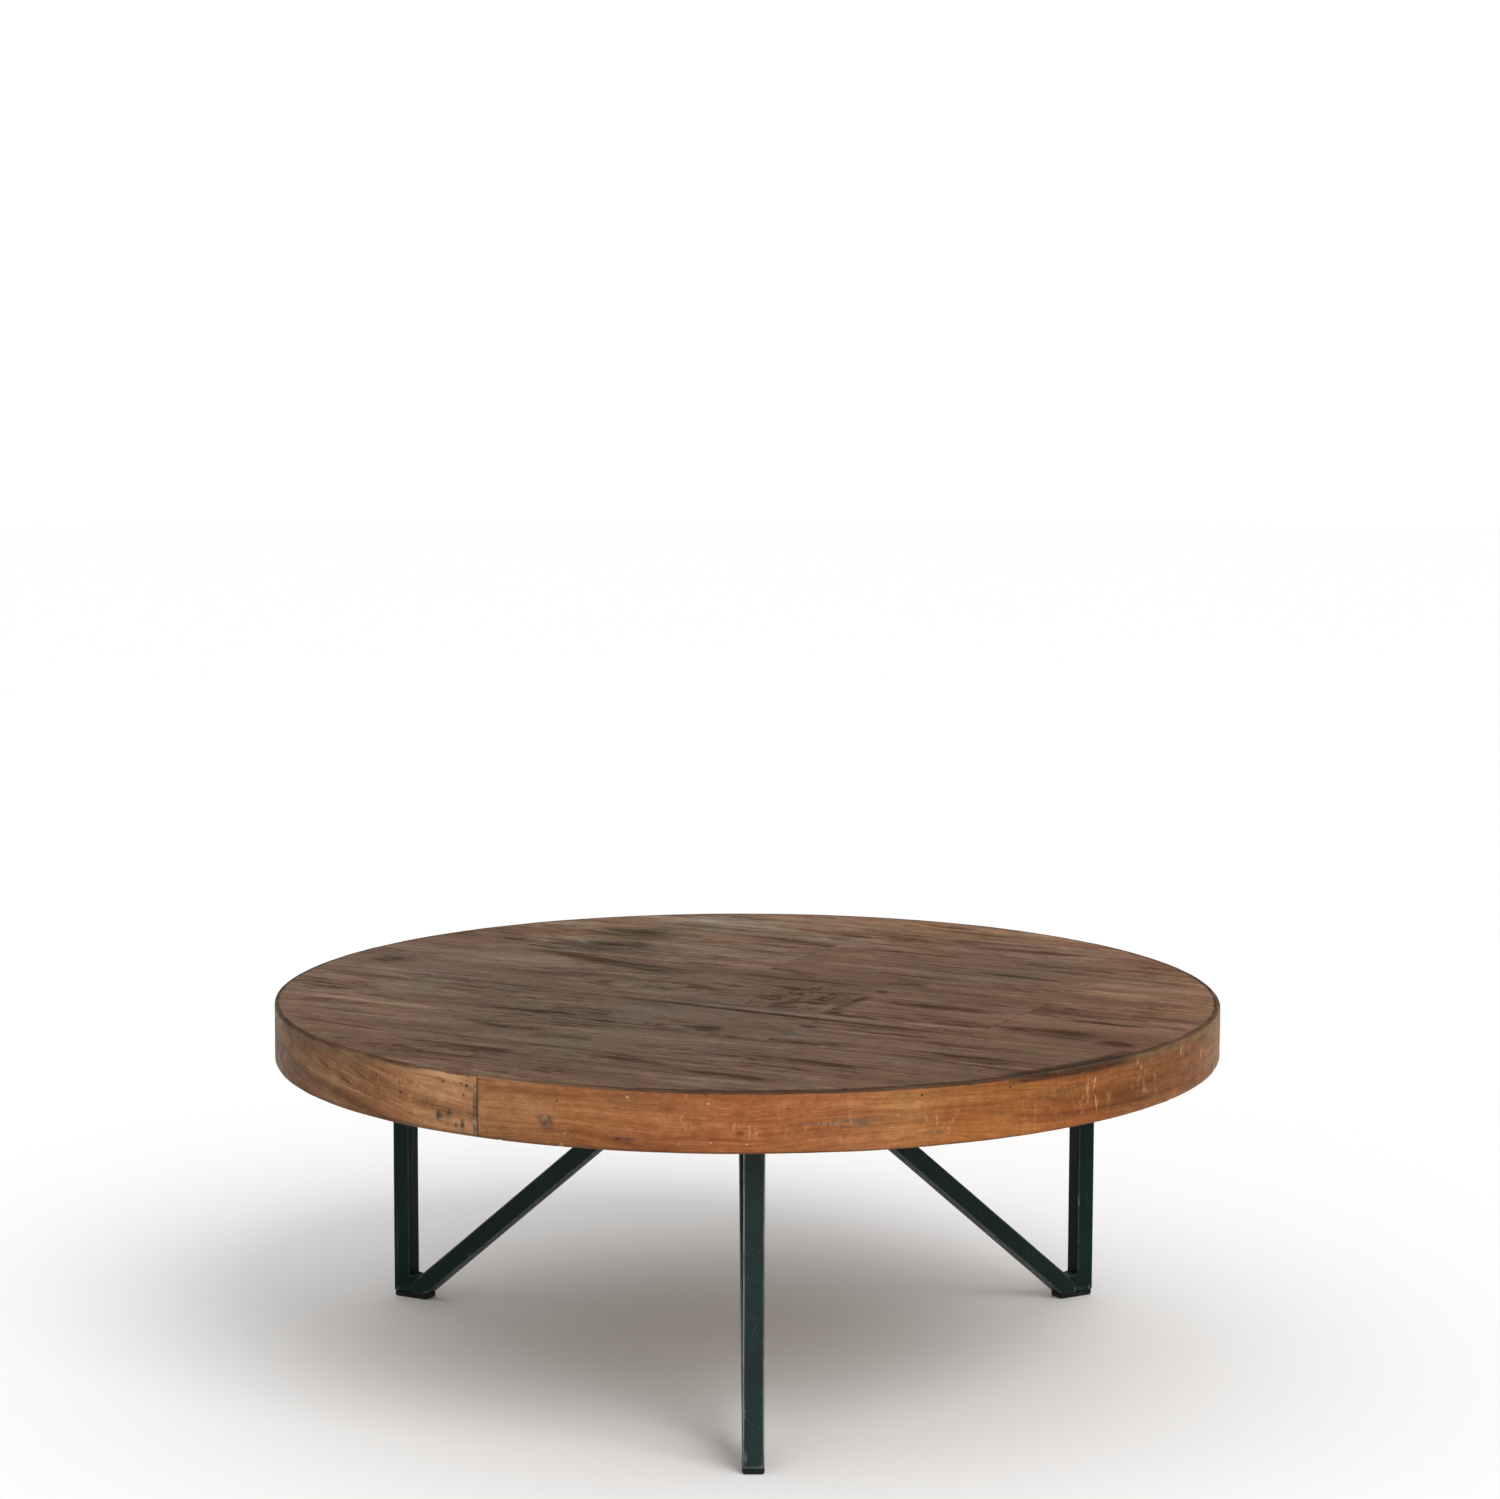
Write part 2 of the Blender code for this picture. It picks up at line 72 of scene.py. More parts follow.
# ------------------------------------------------------------------ node helper
class Net:
    """Builds one node material with short calls."""

    def __init__(self, name):
        self.mat = bpy.data.materials.new(name)
        self.mat.use_nodes = True
        self.t = self.mat.node_tree
        self.t.nodes.clear()
        out = self.t.nodes.new("ShaderNodeOutputMaterial")
        self.bsdf = self.t.nodes.new("ShaderNodeBsdfPrincipled")
        self.t.links.new(self.bsdf.outputs[0], out.inputs[0])
        tc = self.t.nodes.new("ShaderNodeTexCoord")
        self.P = tc.outputs["Object"]

    def put(self, sock, v):
        if isinstance(v, bpy.types.NodeSocket):
            self.t.links.new(v, sock)
        elif isinstance(v, (tuple, list, Vector)):
            v = tuple(v)
            if len(sock.default_value) == 4 and len(v) == 3:
                v = v + (1.0,)
            sock.default_value = v
        else:
            sock.default_value = v

    def m(self, op, a, b=None, c=None, clamp=False):
        n = self.t.nodes.new("ShaderNodeMath")
        n.operation, n.use_clamp = op, clamp
        for s, v in zip(n.inputs, (a, b, c)):
            if v is not None:
                self.put(s, v)
        return n.outputs[0]

    def add(self, a, b): return self.m("ADD", a, b)
    def sub(self, a, b): return self.m("SUBTRACT", a, b)
    def mul(self, a, b): return self.m("MULTIPLY", a, b)
    def mad(self, a, b, c): return self.m("MULTIPLY_ADD", a, b, c)
    def mx(self, a, b): return self.m("MAXIMUM", a, b)
    def mn(self, a, b): return self.m("MINIMUM", a, b)
    def inv(self, a): return self.m("SUBTRACT", 1.0, a)

    def vm(self, op, a, b=None, c=None):
        n = self.t.nodes.new("ShaderNodeVectorMath")
        n.operation = op
        for s, v in zip(n.inputs, (a, b, c)):
            if v is not None:
                self.put(s, v)
        return n.outputs["Value"] if op in ("DOT_PRODUCT", "LENGTH", "DISTANCE") else n.outputs[0]

    def xyz(self, x, y, z):
        n = self.t.nodes.new("ShaderNodeCombineXYZ")
        for s, v in zip(n.inputs, (x, y, z)):
            self.put(s, v)
        return n.outputs[0]

    def sep(self, v):
        n = self.t.nodes.new("ShaderNodeSeparateXYZ")
        self.put(n.inputs[0], v)
        return n.outputs[0], n.outputs[1], n.outputs[2]

    def noise(self, v, scale=(1, 1, 1), off=(0, 0, 0), detail=3.0, rough=0.55, dist=0.0, color=False):
        w = self.vm("MULTIPLY_ADD", v, scale, off)
        n = self.t.nodes.new("ShaderNodeTexNoise")
        self.put(n.inputs["Vector"], w)
        n.inputs["Scale"].default_value = 1.0
        n.inputs["Detail"].default_value = detail
        n.inputs["Roughness"].default_value = rough
        n.inputs["Distortion"].default_value = dist
        return n.outputs["Color"] if color else n.outputs[0]

    def voronoi(self, v, scale=(1, 1, 1), off=(0, 0, 0), feature="F1", color=False):
        w = self.vm("MULTIPLY_ADD", v, scale, off)
        n = self.t.nodes.new("ShaderNodeTexVoronoi")
        n.feature = feature
        self.put(n.inputs["Vector"], w)
        n.inputs["Scale"].default_value = 1.0
        return (n.outputs["Distance"], n.outputs["Color"]) if color else n.outputs["Distance"]

    def step(self, x, a, b, lo=0.0, hi=1.0):
        """Smooth step: lo at a, hi at b."""
        n = self.t.nodes.new("ShaderNodeMapRange")
        n.interpolation_type = "SMOOTHSTEP"
        for s, v in zip(n.inputs, (x, a, b, lo, hi)):
            self.put(s, v)
        return n.outputs[0]

    def lin(self, x, a, b, lo=0.0, hi=1.0):
        n = self.t.nodes.new("ShaderNodeMapRange")
        for s, v in zip(n.inputs, (x, a, b, lo, hi)):
            self.put(s, v)
        return n.outputs[0]

    def ramp(self, f, stops):
        n = self.t.nodes.new("ShaderNodeValToRGB")
        e = n.color_ramp.elements
        e[0].position, e[0].color = stops[0][0], (*stops[0][1], 1.0)
        e[1].position, e[1].color = stops[-1][0], (*stops[-1][1], 1.0)
        for p, c in stops[1:-1]:
            k = e.new(p)
            k.color = (*c, 1.0)
        self.put(n.inputs[0], f)
        return n.outputs[0]

    def mix(self, f, a, b, mode="MIX"):
        n = self.t.nodes.new("ShaderNodeMix")
        n.data_type, n.blend_type = "RGBA", mode
        n.clamp_result = False
        self.put(n.inputs[0], f)
        self.put(n.inputs[6], a)
        self.put(n.inputs[7], b)
        return n.outputs[2]

    def attr(self, name):
        n = self.t.nodes.new("ShaderNodeAttribute")
        n.attribute_name = name
        return n.outputs["Fac"]

    def bump(self, h, dist, strength=1.0, normal=None):
        n = self.t.nodes.new("ShaderNodeBump")
        self.put(n.inputs["Height"], h)
        n.inputs["Distance"].default_value = dist
        n.inputs["Strength"].default_value = strength
        if normal is not None:
            self.put(n.inputs["Normal"], normal)
        return n.outputs[0]

    def spot(self, u, v, u0, v0, ru, rv, slope=0.0, wobble=None, soft=(1.15, 0.55)):
        """1 inside an ellipse that may lie askew, fading to 0 outside."""
        du = self.sub(u, u0)
        dv = self.sub(v, v0)
        if slope:
            dv = self.mad(du, -slope, dv)
        a = self.mul(du, 1.0 / ru)
        b = self.mul(dv, 1.0 / rv)
        d = self.m("SQRT", self.add(self.mul(a, a), self.mul(b, b)))
        if wobble is not None:
            d = self.mad(wobble, 1.0, d)
        return self.step(d, soft[0], soft[1])

    def set(self, **kw):
        for k, v in kw.items():
            self.put(self.bsdf.inputs[k.replace("_", " ")], v)
        return self.mat


# -------------------------------------------------------------------- materials
# places of the top that are paler or darker than the rest: centre, radii, factor; the two bluish paler places, at the
# back and at the far left, are a painted light patch
TONES = ((-0.170, -0.200, 0.170, 0.130, (0.84, 0.88, 0.89)), (-0.110, 0.035, 0.110, 0.100, (1.12, 1.17, 1.15)),
         (-0.030, 0.310, 0.230, 0.120, (1.10, 1.21, 1.25)), (-0.410, 0.000, 0.100, 0.140, (1.13, 1.19, 1.25)),
         (0.250, 0.100, 0.130, 0.085, (0.82, 0.86, 0.86)), (0.300, -0.130, 0.100, 0.080, (1.09, 1.05, 1.00)),
         (0.402, -0.020, 0.070, 0.090, (1.12, 1.13, 1.13)), (0.075, -0.020, 0.070, 0.070, (1.07, 1.09, 1.07)))


def plank_material(name, seed, tone=1.0, warm=0.5, streak=0.5, knots=(), darks=(), lights=(), lines=(), hatch=(),
                   greens=()):
    """Brown-stained reclaimed wood.  Places are (u, v, ru, rv[, slope]) in metres,
    u along the grain and v across it."""
    n = Net(name)
    u = n.vm("DOT_PRODUCT", n.P, GU)
    v = n.vm("DOT_PRODUCT", n.P, GV)
    px, py, z = n.sep(n.P)
    o = (seed * 3.17 + 1.3, seed * 7.31 + 2.1, seed * 1.93 + 0.7)
    flat = n.xyz(u, v, z)
    # grain lines wander, and part round the knots
    wander = n.noise(flat, (2.6, 6.5, 6.5), o, 2.0, 0.5)
    small = n.noise(flat, (13.0, 34.0, 34.0), o, 2.0, 0.5)
    wv = n.mad(n.sub(wander, 0.5), 0.034, v)
    wv = n.mad(n.sub(small, 0.5), 0.0060, wv)
    eyes, hard = None, 1.0
    for ku, kv, ru, rv in knots:
        hard = 1.0 if ru < 0.05 else 0.25
        a = n.mul(n.sub(u, ku), 1.0 / (ru * 1.5))
        b = n.mul(n.sub(v, kv), 1.0 / (rv * 1.5))
        g = n.m("EXPONENT", n.mul(n.add(n.mul(a, a), n.mul(b, b)), -1.0))
        wv = n.mad(n.mul(n.sub(v, kv), g), -0.72, wv)
        eyes = g if eyes is None else n.mx(eyes, g)
    c = n.xyz(u, wv, n.mul(z, 0.6))
    band = n.noise(c, (1.7, 30.0, 30.0), o, 2.0, 0.5)
    band2 = n.noise(c, (9.0, 70.0, 70.0), (o[1], o[2], o[0]), 4.0, 0.62)
    line = n.noise(c, (15.0, 190.0, 190.0), o, 4.0, 0.62)
    hair = n.noise(c, (30.0, 700.0, 700.0), o, 3.0, 0.6)
    mottle = n.noise(flat, (38.0, 60.0, 60.0), (o[0] + 2, o[2], o[1]), 4.0, 0.65)
    pore = n.noise(c, (80.0, 1700.0, 1700.0), o, 1.5, 0.5)
    cloud = n.noise(flat, (5.5, 11.0, 11.0), (o[2], o[0], o[1]), 3.0, 0.6)
    cloud2 = n.noise(flat, (14.0, 30.0, 30.0), (o[1] + 9, o[0], o[2]), 3.0, 0.6)
    brk = n.noise(c, (30.0, 150.0, 150.0), (o[2], o[0] + 2, o[1]), 4.0, 0.68)
    torn = n.noise(c, (17.0, 290.0, 290.0), (o[1], o[0] + 2, o[2]), 4.0, 0.64)
    tear = n.noise(c, (12.0, 120.0, 120.0), (o[0] + 8, o[1], o[2]), 3.0, 0.62)
    ragged = n.step(n.add(n.mul(brk, 0.15), n.add(n.mul(tear, 0.40), n.mul(torn, 0.45))), 0.445, 0.535)
    blur = n.mul(n.sub(n.noise(flat, (24.0, 60.0, 60.0), o, 4.0, 0.65), 0.5), 1.7)

    t = n.add(n.mul(band, 0.22), n.add(n.mul(band2, 0.30), n.add(n.mul(line, 0.24), n.mul(hair, 0.10))))
    fine = n.noise(c, (95.0, 310.0, 310.0), (o[2] + 3, o[1], o[0]), 3.0, 0.62)
    t = n.lin(n.add(n.mad(mottle, 0.10, t), n.mul(n.sub(fine, 0.5), 0.13)), 0.385, 0.600, -0.05, 1.05)
    lively = n.step(n.noise(flat, (6.0, 14.0, 14.0), (o[1], o[2] + 6, o[0]), 2.0, 0.5), 0.38, 0.62, 0.34, 1.05)
    shift = n.mul(n.sub(n.noise(flat, (4.5, 12.0, 12.0), (o[2] + 9, o[0], o[1]), 3.0, 0.55), 0.5), 0.62)
    t = n.add(n.mad(n.sub(t, 0.5), lively, 0.5), shift)
    col = n.ramp(t, [(0.0, (0.034, 0.0132, 0.0050)), (0.20, (0.065, 0.0285, 0.0120)), (0.46, (0.106, 0.0548, 0.0285)),
                     (0.72, (0.148, 0.0900, 0.0530)), (1.0, (0.205, 0.1360, 0.0880))])
    grey = n.ramp(t, [(0.0, (0.032, 0.0178, 0.0100)), (0.25, (0.068, 0.0440, 0.0280)), (0.55, (0.118, 0.0860, 0.0620)),
                      (1.0, (0.195, 0.1560, 0.1240))])
    pink = n.ramp(t, [(0.0, (0.036, 0.0125, 0.0064)), (0.3, (0.088, 0.0370, 0.0200)), (0.6, (0.146, 0.0770, 0.0500)),
                      (1.0, (0.215, 0.1340, 0.0980))])
    olive = n.ramp(t, [(0.0, (0.026, 0.0152, 0.0050)), (0.3, (0.064, 0.0400, 0.0150)), (0.6, (0.110, 0.0760, 0.0380)),
                       (1.0, (0.178, 0.1360, 0.0790))])
    col = n.mix(n.step(cloud, 0.46 + 0.10 * warm, 0.62 + 0.12 * warm, 0.0, 0.62), col, grey)
    col = n.mix(n.step(cloud2, 0.50, 0.64, 0.0, 0.20 + 0.45 * warm), col, pink)
    col = n.mix(n.step(cloud2, 0.46, 0.34, 0.0, 0.55), col, olive)
    # growth rings: each darkens slowly and ends at once, in long arches
    low = n.noise(flat, (1.9, 9.0, 9.0), (o[1], o[0] + 5, o[2]), 1.5, 0.5)
    ring = n.m("FRACT", n.add(n.mul(wv, 78.0), n.add(n.mul(low, 7.5), n.mul(line, 0.55))))
    late = n.mul(n.step(ring, 0.30, 0.93), n.step(ring, 1.0, 0.95))
    late = n.mul(late, n.step(n.noise(flat, (4.0, 14.0, 14.0), (o[0], o[1] + 3, o[2]), 2.0, 0.5), 0.36, 0.60))
    col = n.mix(n.mul(n.mul(late, lively), 0.16 + 0.10 * streak), col, (0.034, 0.0160, 0.0090))
    # weathered dark flecks that follow the grain
    fleck = n.noise(c, (22.0, 90.0, 90.0), (o[0] + 4, o[1], o[2]), 5.0, 0.70)
    field = n.noise(flat, (4.2, 11.0, 11.0), (o[0], o[2] + 5, o[1]), 2.0, 0.5)
    weather = n.mul(n.step(fleck, 0.525, 0.585), n.step(field, 0.48, 0.64))
    col = n.mix(n.mul(weather, 0.40 + 0.16 * streak), col, (0.025, 0.0122, 0.0052))
    dry = n.mul(weather, 0.8)
    dash = n.noise(c, (26.0, 260.0, 260.0), (o[1] + 4, o[2], o[0]), 3.0, 0.6)
    dashes = n.mul(n.step(dash, 0.595, 0.635), n.step(field, 0.62, 0.46, 0.30, 1.0))
    col = n.mix(n.mul(dashes, 0.44), col, (0.026, 0.0122, 0.0052))
    # pale worn fibres
    pale = n.mul(n.step(n.noise(c, (9.0, 240.0, 240.0), (o[2], o[1], o[0] + 3), 3.0, 0.6), 0.565, 0.68),
                 n.step(cloud, 0.42, 0.58))
    col = n.mix(n.mul(pale, 0.30), col, (0.275, 0.1700, 0.1080))
    # pores
    pores = n.step(pore, 0.58, 0.68)
    col = n.mix(n.mul(pores, 0.50), col, (0.018, 0.0090, 0.0055))
    # faint saw lines across the grain
    saw = n.noise(n.xyz(u, v, z), (400.0, 13.0, 13.0), o, 3.0, 0.6)
    sawmask = n.step(n.noise(flat, (9.0, 15.0, 15.0), (o[1], o[2], o[0] + 7), 2.0, 0.5), 0.51, 0.62)
    sawlines = n.mul(n.mul(n.step(saw, 0.54, 0.66), sawmask), n.step(brk, 0.36, 0.56))
    col = n.mix(n.mul(sawlines, 0.42), col, (0.030, 0.0165, 0.0100))
    rough_v = n.noise(flat, (60.0, 150.0, 150.0), o, 2.0, 0.5)

    for place in darks:
        s = n.spot(u, v, place[0], place[1], place[2] * 1.25, place[3] * 0.86, slope=place[4] if len(place) > 4 else 0.0,
                   wobble=blur, soft=(1.30, 0.35))
        k = place[5] if len(place) > 5 else 0.72
        s = n.mul(s, n.mad(ragged, 0.74, 0.26))
        dry = n.mx(dry, s)
        col = n.mix(n.mul(s, k + 0.08), col, (0.024, 0.0120, 0.0055))
    for place in lights:
        s = n.spot(u, v, *place[:4], slope=place[4] if len(place) > 4 else 0.0, wobble=blur)
        tint = place[5] if len(place) > 5 else (0.23, 0.155, 0.105)
        k = place[6] if len(place) > 6 else 0.45
        col = n.mix(n.mul(n.mul(s, n.step(brk, 0.66, 0.38)), k), col, tint)
    for place in greens:
        s = n.spot(u, v, *place[:4], wobble=blur)
        s = n.mul(s, n.mad(ragged, 0.84, 0.16))
        dry = n.mx(dry, s)
        col = n.mix(n.mul(s, 0.92), col, (0.027, 0.0205, 0.0086))
    groove = None
    for place in hatch:
        s = n.spot(u, v, *place[:4], wobble=blur)
        across = n.noise(n.xyz(u, v, z), (105.0, 30.0, 30.0), o, 3.0, 0.62)
        along = n.noise(n.xyz(u, v, z), (40.0, 100.0, 100.0), o, 4.0, 0.64)
        h = n.mx(n.mul(n.step(across, 0.530, 0.580), n.step(along, 0.42, 0.50)), n.step(along, 0.545, 0.595))
        h = n.mul(h, s)
        col = n.mix(n.mul(s, 0.22), col, (0.050, 0.0260, 0.0120))
        col = n.mix(n.mul(h, 0.62), col, (0.024, 0.0120, 0.0056))
        dry = n.mx(dry, h)
        groove = h if groove is None else n.mx(groove, h)
    for place in lines:
        s = n.spot(u, v, *place[:4], slope=place[4] if len(place) > 4 else 0.0,
                   wobble=n.mul(blur, 0.5), soft=(1.1, 0.25))
        s = n.mul(s, n.step(brk, 0.30, 0.44) if place is not LONG else n.step(brk, 0.26, 0.50, 0.55, 1.0))
        col = n.mix(n.mul(s, 0.90), col, (0.016, 0.0078, 0.0040) if place is not LONG else (0.029, 0.0135, 0.0070))
        dry = n.mx(dry, s)
        groove = s if groove is None else n.mx(groove, s)
    if eyes is not None:
        eye = n.step(eyes, 0.55, 0.97)
        col = n.mix(n.mul(eye, 0.45 * hard), col, (0.042, 0.0240, 0.0120))
        core = n.step(n.add(eyes, n.mul(n.sub(brk, 0.5), 0.2)), 0.88, 0.99)
        col = n.mix(n.mul(core, 0.75 * hard), col, (0.018, 0.0095, 0.0050))
    # small holes with a dark halo drawn out along the grain
    d, rnd = n.voronoi(n.xyz(n.mul(u, 0.8), v, z), (24.0, 24.0, 24.0), o, color=True)
    some = n.step(n.sep(rnd)[0], 0.66, 0.68)
    hole = n.mul(n.step(d, 0.034, 0.018), some)
    halo = n.mul(n.step(d, 0.20, 0.03), some)
    col = n.mix(n.mul(halo, 0.40), col, (0.028, 0.0160, 0.0100))
    col = n.mix(n.mul(hole, 0.92), col, (0.007, 0.0050, 0.0040))
    # grime gathers at the joints, here and there
    edge = n.attr("edge")
    grime = n.mul(n.step(edge, 0.10, 0.95), n.step(n.noise(flat, (30.0, 30.0, 30.0), o, 3.0, 0.6), 0.36, 0.62, 0.35, 1.0))
    col = n.mix(n.mul(grime, 0.85), col, (0.016, 0.0085, 0.0055))
    # tone of the board; the right of the table is warmer, and the back, the left and the right and far edges are
    # painted paler, as painted light
    col = n.mix(1.0, col, (0.92 * tone, 0.92 * tone * (1.0 - 0.02 * (warm - 0.5)), 0.92 * tone * (1.0 - 0.10 * (warm - 0.5)), 1.0), "MULTIPLY")
    col = n.mix(n.step(px, -0.05, 0.22), col, (1.12, 1.00, 0.90, 1.0), "MULTIPLY")
    back = n.mx(n.step(py, 0.06, 0.30), n.mul(n.step(px, -0.16, -0.40), 0.8))
    col = n.mix(back, col, (1.24, 1.22, 1.20, 1.0), "MULTIPLY")
    dust = n.noise(flat, (230.0, 330.0, 330.0), (o[1] + 3, o[2], o[0]), 2.0, 0.6)
    col = n.mix(n.lin(dust, 0.36, 0.64, 0.0, 1.0), col, (1.16, 1.15, 1.14, 1.0), "MULTIPLY")
    # painted light towards the right and far edges
    far_painted_light = n.mx(n.step(px, 0.24, 0.44), n.mul(n.step(py, 0.22, 0.43), 0.45))
    col = n.mix(n.mul(far_painted_light, 0.85), col, (1.42, 1.36, 1.30, 1.0), "MULTIPLY")
    rad = n.mad(blur, 0.0040, n.m("SQRT", n.add(n.mul(px, px), n.mul(py, py))))
    stain = n.mul(n.mul(n.step(px, 0.190, 0.235), n.step(px, 0.350, 0.315)), n.step(py, -0.200, -0.240))
    stain = n.mul(n.mul(stain, n.step(rad, 0.4285, 0.4385)), n.step(brk, 0.30, 0.46, 0.55, 1.0))
    col = n.mix(n.mul(stain, 0.86), col, (0.026, 0.0130, 0.0072))
    dry = n.mx(dry, stain)
    for x0, y0, rx, ry, tint in TONES:
        s = n.spot(px, py, x0, y0, rx, ry, wobble=n.mul(blur, 0.4), soft=(1.45, 0.35))
        col = n.mix(s, col, tint, "MULTIPLY")

    h = n.add(n.mul(line, 0.40), n.add(n.mul(hair, 0.30), n.mul(band2, 0.35)))
    h = n.sub(h, n.mul(pores, 0.35))
    h = n.sub(h, n.mul(weather, 0.30))
    h = n.sub(h, n.mul(late, 0.20))
    h = n.sub(h, n.mul(sawlines, 0.25))
    h = n.sub(h, n.mul(hole, 1.6))
    if groove is not None:
        h = n.sub(h, n.mul(groove, 0.9))
    rough = n.add(n.lin(rough_v, 0.3, 0.7, 0.31, 0.42), n.mul(weather, 0.16))
    rough = n.add(rough, n.mul(n.mx(grime, dry), 0.15))
    gloss = n.mad(n.mx(dry, grime), -0.060, 0.085)
    return n.set(Base_Color=col, Roughness=rough, Specular_IOR_Level=gloss, Normal=n.bump(h, 0.00045, 0.75))


def rim_material(name, seed, centre_deg, tone=1.0, tan=0.0, slant=0.0, contrast=1.0, extra=None, arris=None):
    """Warm orange-brown edge strip, grain round the rim."""
    n = Net(name)
    # arc length along the strip, measured from its middle so that no seam falls on it
    c, s = math.cos(math.radians(centre_deg)), math.sin(math.radians(centre_deg))
    x = n.vm("DOT_PRODUCT", n.P, (c, s, 0.0))
    y = n.vm("DOT_PRODUCT", n.P, (-s, c, 0.0))
    ang = n.m("ARCTAN2", y, x)
    a = n.mul(ang, TABLE_R)
    z = n.sep(n.P)[2]
    r = n.m("SQRT", n.add(n.mul(x, x), n.mul(y, y)))
    o = (seed * 5.13 + 2.2, seed * 2.71 + 4.1, seed * 3.37 + 1.9)
    depth = n.sub(TABLE_R, r)
    flat = n.xyz(a, z, depth)
    wander = n.noise(flat, (3.2, 8.0, 8.0), o, 2.0, 0.5)
    small = n.noise(flat, (14.0, 40.0, 40.0), o, 2.0, 0.5)
    wz = n.mad(a, slant, z)
    wz = n.mad(n.sub(wander, 0.5), 0.060, wz)
    wz = n.mad(n.sub(small, 0.5), 0.0060, wz)
    q = n.xyz(a, wz, depth)
    band = n.noise(q, (1.5, 48.0, 30.0), o, 2.0, 0.5)
    band2 = n.noise(q, (5.0, 125.0, 60.0), (o[2], o[0], o[1]), 3.0, 0.6)
    line = n.noise(q, (11.0, 330.0, 120.0), o, 4.0, 0.62)
    hair = n.noise(q, (30.0, 1000.0, 500.0), o, 3.0, 0.6)
    pore = n.noise(q, (80.0, 2000.0, 900.0), o, 1.5, 0.5)
    cloud = n.noise(flat, (7.0, 16.0, 14.0), (o[1], o[2], o[0]), 3.0, 0.6)
    cloud2 = n.noise(flat, (22.0, 40.0, 30.0), (o[0] + 6, o[2], o[1]), 4.0, 0.65)
    brk = n.noise(q, (60.0, 220.0, 150.0), (o[2], o[0] + 2, o[1]), 4.0, 0.68)
    mottle = n.noise(flat, (60.0, 80.0, 60.0), (o[0] + 2, o[2], o[1]), 4.0, 0.66)
    t = n.add(n.mul(band, 0.24), n.add(n.mul(band2, 0.26), n.add(n.mul(line, 0.22), n.mul(hair, 0.12))))
    t = n.lin(n.mad(mottle, 0.16, t), 0.510 - 0.135 / contrast, 0.510 + 0.135 / contrast, 0.0, 1.0)
    col = n.ramp(t, [(0.0, (0.135, 0.0430, 0.0140)), (0.25, (0.205, 0.0720, 0.0235)), (0.5, (0.272, 0.1020, 0.0345)),
                     (0.75, (0.345, 0.1450, 0.0540)), (1.0, (0.450, 0.2200, 0.0950))])
    tanc = n.ramp(t, [(0.0, (0.120, 0.0570, 0.0240)), (0.3, (0.205, 0.1060, 0.0480)), (0.6, (0.300, 0.1700, 0.0820)),
                      (1.0, (0.470, 0.3000, 0.1650))])
    red = n.ramp(t, [(0.0, (0.105, 0.0260, 0.0100)), (0.3, (0.185, 0.0520, 0.0185)), (0.6, (0.280, 0.0880, 0.0320)),
                     (1.0, (0.400, 0.1520, 0.0660))])
    col = n.mix(n.add(n.step(cloud, 0.50, 0.66, 0.0, 0.45), tan), col, tanc)
    col = n.mix(n.step(cloud, 0.50, 0.36, 0.0, 0.50), col, red)
    # growth rings
    low = n.noise(flat, (2.2, 14.0, 14.0), (o[1], o[0] + 5, o[2]), 1.5, 0.5)
    ring = n.m("FRACT", n.add(n.mul(wz, 150.0), n.add(n.mul(low, 5.0), n.mul(line, 0.55))))
    late = n.mul(n.step(ring, 0.30, 0.92), n.step(ring, 1.0, 0.94))
    late = n.mul(late, n.step(n.noise(flat, (5.0, 20.0, 20.0), (o[0], o[1] + 3, o[2]), 2.0, 0.5), 0.38, 0.60))
    col = n.mix(n.mul(late, 0.20), col, (0.120, 0.0400, 0.0150))
    # dull brown weathering
    dull = n.mul(n.step(cloud2, 0.52, 0.66), n.step(line, 0.42, 0.58, 0.45, 1.0))
    col = n.mix(n.mul(dull, 0.40), col, (0.120, 0.0600, 0.0300))
    dash = n.noise(q, (38.0, 420.0, 200.0), (o[1] + 4, o[2], o[0]), 3.0, 0.6)
    dashes = n.step(dash, 0.605, 0.68)
    col = n.mix(n.mul(dashes, 0.34), col, (0.085, 0.0330, 0.0150))
    # pale scuffs, mostly upright, as a plane or a blade leaves across the grain
    crinkle = n.mad(n.sub(n.noise(flat, (90.0, 160.0, 90.0), o, 3.0, 0.6), 0.5), 0.010, a)
    scuff = n.noise(n.xyz(crinkle, z, depth), (300.0, 60.0, 60.0), o, 4.0, 0.65)
    where = n.step(n.noise(flat, (9.0, 24.0, 22.0), (o[2] + 3, o[1], o[0]), 3.0, 0.6), 0.49, 0.62)
    dscuff = n.mul(n.step(n.noise(n.xyz(crinkle, z, depth), (230.0, 30.0, 30.0), (o[1], o[0] + 8, o[2]), 3.0, 0.6), 0.55, 0.66),
                   n.step(n.noise(flat, (9.0, 24.0, 20.0), (o[0], o[1] + 13, o[2]), 2.0, 0.5), 0.50, 0.62))
    col = n.mix(n.mul(dscuff, 0.30), col, (0.150, 0.0600, 0.0250))
    blur = n.mul(n.sub(n.noise(flat, (36.0, 70.0, 60.0), o, 4.0, 0.65), 0.5), 1.7)
    deg = n.mul(ang, 180.0 / math.pi)
    if extra is not None:
        col, where = extra(n, col, where, deg, a, z, t, brk, blur, o)
    scuffs = n.mul(n.mul(n.step(scuff, 0.545, 0.64), where), n.step(brk, 0.34, 0.52))
    col = n.mix(n.mul(scuffs, 0.40), col, (0.560, 0.3250, 0.1700))
    pores = n.step(pore, 0.58, 0.70)
    col = n.mix(n.mul(pores, 0.40), col, (0.085, 0.0330, 0.0140))
    speck = n.noise(flat, (230.0, 300.0, 240.0), (o[1] + 3, o[2], o[0]), 3.0, 0.6)
    col = n.mix(n.lin(speck, 0.36, 0.64, 0.0, 1.0), col, (1.20, 1.21, 1.22, 1.0), "MULTIPLY")
    col = n.mix(1.0, col, (0.91, 0.905, 0.90, 1.0), "MULTIPLY")
